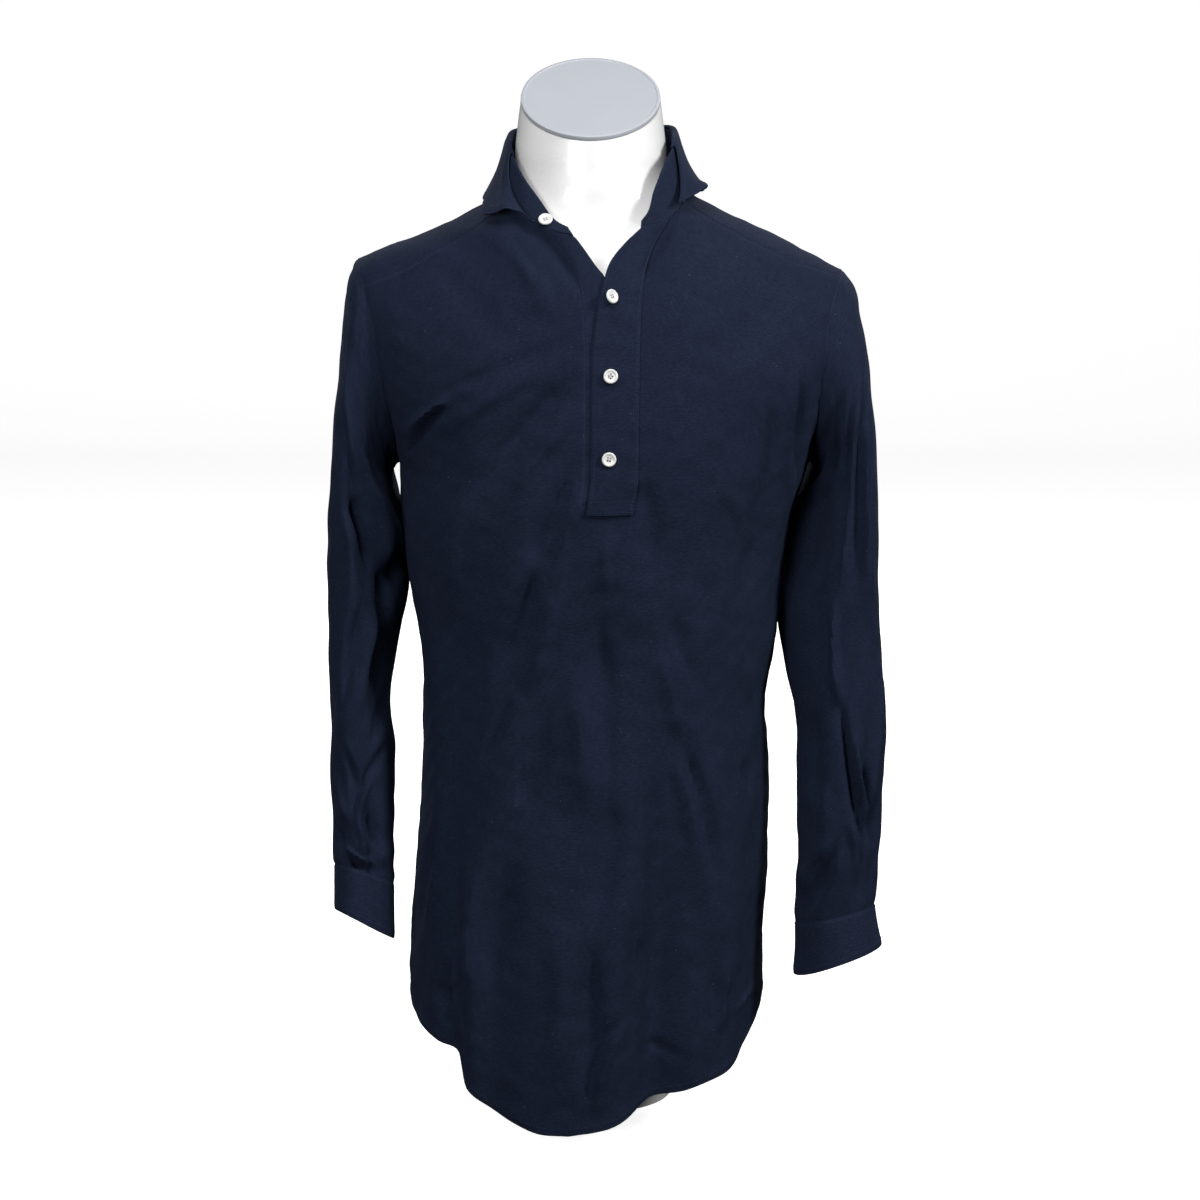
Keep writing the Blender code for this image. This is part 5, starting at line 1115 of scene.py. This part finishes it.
inside = (stations > collarLook["leafStart"]) & (stations < collarLook["leafEnd"])
spots = np.concatenate([[collarLook["leafStart"]], stations[inside], [collarLook["leafEnd"]]])
lowP, topP, edgeP = collarCurves(spots)
up = unit(topP - lowP)
out = unit(np.cross(up, np.gradient(topP, axis=0)))
halfLeaf = collarLook["leafWall"] / 2
rise = 0.0006 + halfLeaf
crestKeys = np.array([topP - out * 0.0019 + up * rise,
                      topP - out * 0.0003 + up * (rise + 0.0006),
                      topP + out * (rise + 0.0002) + up * (rise - 0.0003),
                      topP + out * (rise + 0.0010) - up * 0.0030])
crest = smooth(np.linspace(0, 3, 10), np.arange(4), crestKeys)
pull = crest[-1] + out * 0.0008 - up * 0.026
fall = [bezier(crest[-1], pull, edgeP, t) for t in np.linspace(0, 1, collarLook["leafRows"] + 1)[1:]]
leaf = np.concatenate([crest, np.array(fall)])
down = np.linspace(0, 1, len(leaf))[:, None]
roll = np.exp(-((spots[None] - 15.25) / 0.30) ** 2) * fade(down, 0.80, 1.0)   # the edge rolls up at the right
leaf = leaf + (out * 0.0030 + up * 0.0022)[None] * roll[..., None]
wave = np.sin(spots * 5.2)[None] * fade(down, 0.45, 1.0) * 0.0009   # the edge is never quite straight
leaf = leaf + out[None] * wave[..., None]
leafOut = gridNormals(leaf)
print("collar surfaces made")

# ---- build the cloth pieces ------------------------------------------------------
made = {}
keep = np.ones((frontP.shape[0] - 1, frontP.shape[1] - 1), dtype=bool)
keep[slotRow:, slotLeft:slotRight] = False
made["front"] = addShell("shirtFront", frontP, frontOut, shirt["wall"], clothBody, keep=keep)
made["back"] = addShell("shirtBack", backP, backOut, shirt["wall"], clothBody)
made["yoke"] = addShell("shoulderYoke", yokeP, yokeOut, shirt["wall"], clothBody)

stripLook = {"wall": 0.0016, "lay": 0.0005, "sideLap": 0.005, "footLap": 0.008}


def stripSurface(slot, free, topNumbers, slotFirst):
    line = np.array([slot[0, 0], free[0, 0]])
    start = np.stack([line, hemRise(line, cutShares[16])], -1)
    slot = np.concatenate([start[:1], slot])
    free = np.concatenate([start[1:], free])
    a, b = (slot, free) if slotFirst else (free, slot)
    t = np.linspace(0, 1, 4)[None, :, None]
    strip = a[:, None] * (1 - t) + b[:, None] * t
    strip[-1] = topNumbers
    strip = refine(strip, (0, 1, len(slot) - 1), (0, 3), rowStep, colStep)
    return clothAt(strip[..., 0], strip[..., 1]), clothNormal(strip[..., 0], strip[..., 1])


p, n = stripSurface(under[0], under[1], neckPoint(np.linspace(stationsAt["slotLeft"], 0, 4)), True)
n[-1] = underTop
sink = np.interp(np.arange(p.shape[1]), np.arange(4) * colStep, (0.0, 0.0005, 0.0009, 0.0009))
p = p - n * sink[None, :, None]
underStrip = (p, n)
made["placket_under"] = addShell("buttonBand", p, n, stripLook["wall"], clothTrim)

p, n = stripSurface(over[0], over[1], neckPoint(np.linspace(stationsAt["end"], stationsAt["slotRight"], 4)), False)
n[-1] = overTop
edgeLine, nextLine = frontP[slotRow:, slotRight], frontP[slotRow:, slotRight + colStep]
edgeOut, nextOut = frontOut[slotRow:, slotRight], frontOut[slotRow:, slotRight + colStep]
reach = stripLook["sideLap"] / np.linalg.norm(nextLine - edgeLine, axis=-1, keepdims=True)
sideP = [edgeLine + (nextLine - edgeLine) * reach * s for s in (0.5, 1.0)]
sideN = [unit(edgeOut * (1 - reach * s) + nextOut * reach * s) for s in (0.5, 1.0)]
p = np.concatenate([p, np.stack(sideP, 1)], axis=1)
n = np.concatenate([n, np.stack(sideN, 1)], axis=1)
rowsDown = []
outDown = []
for s in (1.0, 0.66, 0.33):
    cols = np.arange(12 * colStep, slotRight + 1)
    rowP, belowP = frontP[slotRow, cols], frontP[slotRow - rowStep, cols]
    rowO, belowO = frontOut[slotRow, cols], frontOut[slotRow - rowStep, cols]
    drop = stripLook["footLap"] * s / np.linalg.norm(belowP - rowP, axis=-1, keepdims=True)
    q = rowP + (belowP - rowP) * drop
    o = unit(rowO * (1 - drop) + belowO * drop)
    tailP = [q[-1] + (sideP[k][0] - edgeLine[0]) for k in (0, 1)]
    rowsDown.append(np.concatenate([q, np.array(tailP)]))
    outDown.append(np.concatenate([o, np.array([o[-1], o[-1]])]))
p = np.concatenate([np.array(rowsDown), p])
n = np.concatenate([np.array(outDown), n])
p = p + n * (stripLook["wall"] + stripLook["lay"])
overStrip = (p, n)
made["placket_over"] = addShell("buttonholeBand", p, n, stripLook["wall"], clothTrim)

for word in ("left", "right"):
    grid, cuff, normal, shared = sleeveParts[word]
    rows = grid.shape[0]
    made["sleeve_" + word] = addShell("sleeve" + word.title(), grid, normal[:rows], shirt["wall"],
                                      clothSleeve, closed=True)
    cuffRows = cuff.shape[0]
    made["cuff_" + word] = addShell("cuff" + word.title(), cuff, normal[-cuffRows:], sleeveShape["cuffWall"],
                                    clothTrim, closed=True)

made["collar_band"] = addShell("collarStand", stand, standOut, collarLook["standWall"], clothTrim, flip=True)
made["collar_leaf"] = addShell("collarLeaf", leaf + leafOut * halfLeaf, leafOut, collarLook["leafWall"],
                               clothTrim)
print("cloth pieces made")

# ---- stitching -------------------------------------------------------------------
runs = [lineBeside(frontP, frontOut, 0.006, "bottom"), lineBeside(backP, backOut, 0.006, "bottom")]
hemStitches = addStitches("hemStitches", runs, threadMat)
runs = []
strip, stripOut = overStrip
for edge, gap in (("left", 0.0022), ("right", 0.0022)):
    line, lineOut = lineBeside(strip, stripOut, gap, edge)
    runs.append((line, lineOut))
line, lineOut = lineBeside(strip, stripOut, 0.0022, "bottom")
runs.append((line, lineOut))
line, lineOut = lineBeside(strip, stripOut, 0.0110, "bottom")
runs.append((line, lineOut))
strip, stripOut = underStrip
runs.append(lineBeside(strip, stripOut, 0.0022, "left"))
placketStitches = addStitches("placketStitches", runs, threadMat)
leafSkin = leaf + leafOut * halfLeaf
runs = [lineBeside(leafSkin[9:], leafOut[9:], 0.0055, "top"),
        lineBeside(leafSkin[9:], leafOut[9:], 0.0055, "left"),
        lineBeside(leafSkin[9:], leafOut[9:], 0.0055, "right"),
        lineBeside(stand, standOut, 0.0020, "bottom"),
        lineBeside(stand, standOut, 0.0020, "top"),
        lineBeside(stand, standOut, 0.0022, "left"),
        lineBeside(stand, standOut, 0.0022, "right")]
collarStitches = addStitches("collarStitches", runs, threadMat)
runs = [lineBeside(yokeP, yokeOut, 0.0018, "top")]
yokeStitches = addStitches("yokeStitches", runs, threadMat)
cuffStitches = {}
for word in ("left", "right"):
    grid, cuff, normal, shared = sleeveParts[word]
    ring = np.concatenate([cuff, cuff[:, :1]], axis=1)
    ringOut = normal[-cuff.shape[0]:]
    ringOut = np.concatenate([ringOut, ringOut[:, :1]], axis=1)
    runs = [lineBeside(ring, ringOut, 0.0020, "bottom"), lineBeside(ring, ringOut, 0.0050, "top")]
    cuffStitches[word] = addStitches("cuffStitches" + word.title(), runs, threadMat)

# buttonholes: under each placket button, and the open one at the stand's right end
holeLook = {"long": 0.0135, "wide": 0.0019, "pitch": 0.0007, "stitch": 0.0009, "radius": 0.00026,
            "station": 19.15, "share": 0.45}
turns = np.linspace(0, 2 * math.pi, 41)
ovalWide = np.sign(np.cos(turns)) * np.abs(np.cos(turns)) ** 0.5 * holeLook["wide"] / 2
ovalLong = np.sign(np.sin(turns)) * np.abs(np.sin(turns)) ** 0.8 * holeLook["long"] / 2
runs = []
for x, z in ((0.0150, 0.6970), (0.0150, 0.6370), (0.0138, 0.5725)):
    a, r = locate(x + ovalWide, z + ovalLong)
    n = clothNormal(a, r)
    runs.append((clothAt(a, r) + n * (stripLook["wall"] + stripLook["lay"]), n))
k = int(np.argmin(np.abs(stations - holeLook["station"])))
centre = stand[0, k] * (1 - holeLook["share"]) + stand[-1, k] * holeLook["share"]
along, upward, n = unit(stand[4, k + 1] - stand[4, k - 1]), unit(stand[-1, k] - stand[0, k]), unit(standOut[6, k])
runs.append((centre + np.outer(ovalLong, along) + np.outer(ovalWide, upward), np.repeat(n[None], 41, axis=0)))
holeStitches = addStitches("buttonholeStitches", runs, threadMat, holeLook["pitch"], holeLook["stitch"],
                           holeLook["radius"])
print("stitching made")

# ---- torso form ------------------------------------------------------------------
# height, half width, front, back, lean
formRows = (
    (0.138, 0.128, 0.106, 0.098, 0), (0.146, 0.134, 0.112, 0.104, 0),
    (0.200, 0.136, 0.116, 0.108, 0), (0.270, 0.130, 0.110, 0.102, 0),
    (0.350, 0.122, 0.100, 0.090, 0), (0.420, 0.125, 0.103, 0.088, 0),
    (0.490, 0.135, 0.110, 0.094, 0), (0.560, 0.146, 0.114, 0.098, 0),
    (0.620, 0.158, 0.110, 0.097, 0), (0.664, 0.168, 0.101, 0.092, 0),
    (0.693, 0.170, 0.091, 0.086, 0), (0.713, 0.166, 0.083, 0.080, 0),
    (0.7290, 0.152, 0.075, 0.073, 0), (0.7435, 0.129, 0.068, 0.067, 0),
    (0.7555, 0.103, 0.063, 0.061, 0), (0.7670, 0.081, 0.060, 0.056, 0),
    (0.7800, 0.067, 0.059, 0.051, 0), (0.7950, 0.0625, 0.057, 0.049, 3),
    (0.812, 0.0617, 0.056, 0.048, 10), (0.834, 0.0592, 0.055, 0.0475, 22),
    (0.8505, 0.0570, 0.0545, 0.0545, 31),
)
formLook = {"x": -0.001, "y": 0.004, "plinthHalf": 0.070, "plinthDepth": 0.056, "plinthTop": 0.130,
            "segments": 108, "perRow": 4, "cap": 0.004, "gloss": 0.26}


def formRings():
    angles = np.linspace(0, 360, formLook["segments"], endpoint=False)
    s = np.sin(np.radians(angles))
    c = np.cos(np.radians(angles))

    def oval(z, half, front, back, lean, power, x0):
        wide = np.sign(s) * np.abs(s) ** power
        deep = np.sign(c) * np.abs(c) ** power
        ahead = np.where(deep > 0, front, back) * deep
        return np.stack([x0 + half * wide, formLook["y"] - ahead,
                         z - ahead * math.tan(math.radians(lean))], -1)

    rings = []
    for z in (0.0, 0.0008, formLook["plinthTop"] - 0.001, formLook["plinthTop"]):
        shrink = 0.0006 if z in (0.0,) else 0.0
        rings.append(oval(z, formLook["plinthHalf"] - shrink, formLook["plinthDepth"] - shrink,
                          formLook["plinthDepth"] - shrink, 0, 1.0, formLook["x"]))
    data = np.array(formRows, dtype=float)
    count = len(data)
    for place in np.linspace(0, count - 1, (count - 1) * formLook["perRow"] + 1):
        z = float(np.interp(place, np.arange(count), data[:, 0]))
        row = [float(table(z, formRows, k)) for k in (1, 2, 3, 4)]
        blend = float(fade(z, 0.60, 0.80))
        x0 = formLook["x"] + 0.008 * float((1 - fade(z, 0.72, 0.80)) * fade(z, 0.2, 0.5))
        rings.append(oval(z, row[0], row[1], row[2], row[3], 0.88 + 0.12 * blend, x0))
    return np.array(rings)


def addRings(name, rings, mat):
    count, cols = rings.shape[:2]
    faces = gridQuads(count, cols, closed=True).tolist()
    faces.append(list(reversed(range(cols))))
    faces.append(list(range((count - 1) * cols, count * cols)))
    return addMesh(name, rings.reshape(-1, 3), faces, mat, sharp=35)


g = Graph("whiteForm")
spot = g.node("ShaderNodeTexCoord", {}, {}, out=3)
blotch = g.node("ShaderNodeTexNoise", {}, {"Vector": spot, "Scale": 9.0, "Detail": 3.0})
grain = g.node("ShaderNodeTexNoise", {}, {"Vector": spot, "Scale": 420.0, "Detail": 2.0})
scuff = g.clamp(g.node("ShaderNodeTexNoise", {}, {"Vector": spot, "Scale": 38.0, "Detail": 5.0}), 0.58, 0.75)
formMat = g.finish(Base_Color=g.mix(blotch * 0.5, (0.80, 0.80, 0.80, 1), (0.86, 0.86, 0.85, 1)),
                   Roughness=0.24 + scuff * 0.18 + grain * 0.04,
                   Normal=g.node("ShaderNodeBump", {}, {"Strength": 0.25, "Distance": 0.0004, "Height": grain}),
                   Coat_Weight=0.25)
g = Graph("greyCap")
spot = g.node("ShaderNodeTexCoord", {}, {}, out=3)
grain = g.node("ShaderNodeTexNoise", {}, {"Vector": spot, "Scale": 700.0, "Detail": 2.0})
blotch = g.node("ShaderNodeTexNoise", {}, {"Vector": spot, "Scale": 30.0, "Detail": 3.0})
capMat = g.finish(Base_Color=g.mix(blotch, (0.43, 0.45, 0.49, 1), (0.46, 0.48, 0.52, 1)),
                  Roughness=0.42 + grain * 0.1,
                  Normal=g.node("ShaderNodeBump", {}, {"Strength": 0.15, "Distance": 0.0003, "Height": grain}))

rings = formRings()
made["torso_form"] = addRings("torsoForm", rings, formMat)
topRing = rings[-1]
middle = topRing.mean(axis=0)
capUp = unit(np.cross(topRing[27] - middle, topRing[0] - middle))
capUp = capUp if capUp[2] > 0 else -capUp
capRings = []
for scale, height in ((0.970, 0.0003), (0.992, 0.0004), (1.0, 0.0010), (1.0, 0.0030), (0.996, 0.0037),
                      (0.988, 0.0040), (0.955, 0.0040), (0.948, 0.0036), (0.60, 0.0036)):
    capRings.append(middle + (topRing - middle) * scale + capUp * height)
made["neck_cap"] = addRings("neckCap", np.array(capRings), capMat)
print("form made")

# ---- buttons ---------------------------------------------------------------------
buttonLook = {"radius": 0.0057, "height": 0.0024, "hole": 0.00075, "holeAt": 0.00145, "steps": 64}
# node, x, height, turn about the vertical, lift
buttonRows = (
    ("button_top", 0.0150, 0.6970, 38.0, 0.0029, 12),
    ("button_middle", 0.0150, 0.6370, 0.0, 0.0006, 40),
    ("button_bottom", 0.0138, 0.5725, 0.0, 0.0008, -8),
)
bandButton = {"station": 1.45, "share": 0.30, "lift": 0.0010}

g = Graph("whiteButton")
spot = g.node("ShaderNodeTexCoord", {}, {}, out=3)
swirl = g.node("ShaderNodeTexNoise", {}, {"Vector": spot, "Scale": 160.0, "Detail": 3.0, "Distortion": 1.2})
buttonMat = g.finish(Base_Color=g.mix(swirl, (0.66, 0.66, 0.65, 1), (0.84, 0.84, 0.82, 1)),
                     Roughness=0.22 + swirl * 0.15, Coat_Weight=0.2)
g = Graph("paleThread")
spot = g.node("ShaderNodeTexCoord", {}, {}, out=3)
ply = g.node("ShaderNodeTexNoise", {}, {"Vector": spot, "Scale": 1200.0, "Detail": 1.0})
whiteThread = g.finish(Base_Color=g.mix(ply, (0.40, 0.40, 0.42, 1), (0.62, 0.62, 0.62, 1)), Roughness=0.7 + ply * 0.1)


def addButton(name, centre, normal, spin):
    r, h = buttonLook["radius"], buttonLook["height"]
    profile = ((0.0, 0.0017), (0.0020, 0.0017), (0.0034, 0.0018), (0.0040, 0.0022), (0.0045, h), (0.0050, h),
               (0.0054, h - 0.0002), (r, h - 0.0007), (r, 0.0012), (0.0055, 0.0006), (0.0050, 0.0002), (0.0044, 0.0), (0.0, 0.0))
    mesh = bpy.data.meshes.new(name)
    mesh.from_pydata([(a, 0.0, b) for a, b in profile], [(k, k + 1) for k in range(len(profile) - 1)], [])
    obj = bpy.data.objects.new(name, mesh)
    bpy.context.scene.collection.objects.link(obj)
    screw = obj.modifiers.new("turn", "SCREW")
    screw.steps = screw.render_steps = buttonLook["steps"]
    screw.use_merge_vertices = True
    screw.merge_threshold = 0.00002
    cutters = []
    for k in range(4):
        a = math.radians(45 + 90 * k)
        bpy.ops.mesh.primitive_cylinder_add(vertices=20, radius=buttonLook["hole"], depth=0.01,
                                            location=(buttonLook["holeAt"] * math.cos(a),
                                                      buttonLook["holeAt"] * math.sin(a), 0.001))
        cutters.append(bpy.context.active_object)
    with bpy.context.temp_override(active_object=cutters[0], selected_editable_objects=cutters):
        bpy.ops.object.join()
    cutter = cutters[0]
    cut = obj.modifiers.new("holes", "BOOLEAN")
    cut.object = cutter
    bpy.context.view_layer.update()
    final = bpy.data.meshes.new_from_object(obj.evaluated_get(bpy.context.evaluated_depsgraph_get()))
    obj.modifiers.clear()
    obj.data = final
    bpy.data.objects.remove(cutter)
    final.materials.clear()
    final.materials.append(buttonMat)
    final.shade_smooth()
    final.set_sharp_from_angle(angle=math.radians(38))
    normal = unit(np.array(normal, dtype=float))
    side = unit(np.cross((0.0, 0.0, 1.0), normal))
    up = np.cross(normal, side)
    turn = Matrix((side, up, normal)).transposed().to_4x4() @ Matrix.Rotation(math.radians(spin), 4, "Z")
    obj.matrix_world = Matrix.Translation(Vector(centre)) @ turn
    return obj, obj.matrix_world.copy()


def addShank(name, place, lengthDown):
    # two bars of thread across the holes, and the shank under the button
    verts, faces = [], []
    at = buttonLook["holeAt"] * math.cos(math.radians(45))
    for x in (-at, at):
        for offset in (-0.00022, 0.00022):
            t = np.linspace(0, math.pi, 9)
            path = np.stack([np.full(9, x + offset), at * -np.cos(t), 0.0013 + 0.0009 * np.sin(t)], -1)
            base = len(verts)
            for k in range(9):
                for j in range(6):
                    a = j * math.pi / 3
                    verts.append(tuple(path[k] + 0.0002 * np.array([math.cos(a), 0, math.sin(a)])))
            for k in range(8):
                for j in range(6):
                    i = (j + 1) % 6
                    faces.append((base + k * 6 + j, base + (k + 1) * 6 + j, base + (k + 1) * 6 + i, base + k * 6 + i))
            faces.append(tuple(base + j for j in range(6)))
            faces.append(tuple(base + 48 + j for j in reversed(range(6))))
    base = len(verts)
    for height, radius in ((0.0004, 0.0011), (-0.3 * lengthDown, 0.0008), (-lengthDown, 0.0012)):
        for j in range(10):
            a = j * math.pi / 5
            verts.append((radius * math.cos(a), radius * math.sin(a), height))
    for k in range(2):
        for j in range(10):
            i = (j + 1) % 10
            faces.append((base + k * 10 + i, base + k * 10 + j, base + (k + 1) * 10 + j, base + (k + 1) * 10 + i))
    faces.append(tuple(base + j for j in range(10)))
    faces.append(tuple(base + 20 + j for j in reversed(range(10))))
    verts = [tuple(place @ Vector(v)) for v in verts]
    return addMesh(name, verts, faces, whiteThread, sharp=60)


shanks = []
for node, x, z, turn, liftBy, spin in buttonRows:
    a, r = locate(x, z)
    a, r = np.array([float(a)]), np.array([float(r)])
    normal = clothNormal(a, r)[0]
    spot = clothAt(a, r)[0] + normal * (stripLook["wall"] + stripLook["lay"] + liftBy)
    angle = math.radians(turn)
    turned = np.array([normal[0] * math.cos(angle) - normal[1] * math.sin(angle),
                       normal[0] * math.sin(angle) + normal[1] * math.cos(angle), normal[2]])
    made[node], place = addButton(node.replace("button_", "button").replace("_", ""), spot, turned, spin)
    shanks.append(addShank("thread" + node.split("_")[1].title(), place, liftBy))
k = int(np.argmin(np.abs(stations - bandButton["station"])))
spot = stand[0, k] * (1 - bandButton["share"]) + stand[-1, k] * bandButton["share"]
normal = unit(standOut[:, k].mean(axis=0))
made["button_band"], place = addButton("buttonStand", spot + normal * bandButton["lift"], normal, 20)
shanks.append(addShank("threadStand", place, bandButton["lift"]))
print("buttons made")

# ---- what each piece stands for --------------------------------------------------
for node, piece in made.items():
    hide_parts(node)
    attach(piece, "root")
for piece in [hemStitches, placketStitches, collarStitches, yokeStitches, holeStitches, *cuffStitches.values()]:
    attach(piece, "root")
for piece in shanks:
    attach(piece, "root")

# ---- stage, light and camera -----------------------------------------------------
stageLook = {"world": 0.04, "key": 42.0, "fill": 24.0, "top": 17.0, "back": 26.0, "glow": 0.88}
profile = [(-9.0, 0.0), (4.5, 0.0)]
profile += [(4.5 + 1.0 * math.sin(a), 1.0 - math.cos(a)) for a in np.linspace(0.1, math.pi / 2, 12)]
profile += [(5.5, 7.0)]
verts = [(x, y, z) for y, z in profile for x in (-9.0, 9.0)]
faces = [(2 * k, 2 * k + 1, 2 * k + 3, 2 * k + 2) for k in range(len(profile) - 1)]
floorMat = Graph("paleFloor").finish(Base_Color=(0.90, 0.90, 0.90, 1), Roughness=0.9,
                                     Emission_Color=(1, 1, 1, 1), Emission_Strength=stageLook["glow"])
backdrop = addMesh("backdrop", verts, faces, floorMat, sharp=80)
backdrop.visible_diffuse = False  # the white room is only seen, it throws no light on the cloth
backdrop.visible_glossy = False

world = bpy.data.worlds.new("softRoom")
bpy.context.scene.world = world
world.use_nodes = True
world.node_tree.nodes["Background"].inputs[0].default_value = (1, 1, 1, 1)
world.node_tree.nodes["Background"].inputs[1].default_value = stageLook["world"]


def addLight(name, place, aim, size, power):
    data = bpy.data.lights.new(name, "AREA")
    data.shape = "RECTANGLE"
    data.size, data.size_y = size
    data.energy = power
    lamp = bpy.data.objects.new(name, data)
    lamp.location = place
    lamp.rotation_euler = (Vector(aim) - Vector(place)).to_track_quat("-Z", "Y").to_euler()
    bpy.context.scene.collection.objects.link(lamp)
    return lamp


addLight("keySoftbox", (1.8, -1.0, 1.75), (0, 0, 0.6), (0.45, 0.6), stageLook["key"])
addLight("fillSoftbox", (-0.9, -2.3, 1.0), (0, 0, 0.42), (0.8, 0.8), stageLook["fill"])
addLight("topSoftbox", (-0.1, -0.95, 2.0), (0, -0.1, 0.6), (1.2, 0.6), stageLook["top"])

for side in (-1, 1):  # these light the back
    addLight("backSoftbox", (side * 1.1, 2.2, 1.7), (0, 0, 0.5), (0.7, 0.9), stageLook["back"])

bpy.context.scene.view_settings.view_transform = "Standard"

lens = bpy.data.cameras.new("camera")
lens.lens = 72.3
lens.sensor_width = 36
camera = bpy.data.objects.new("camera", lens)
camera.location = (0.0066, -2.0, 0.811)
camera.rotation_euler = (math.radians(90 - 10.58), 0, 0)
bpy.context.scene.collection.objects.link(camera)
bpy.context.scene.camera = camera
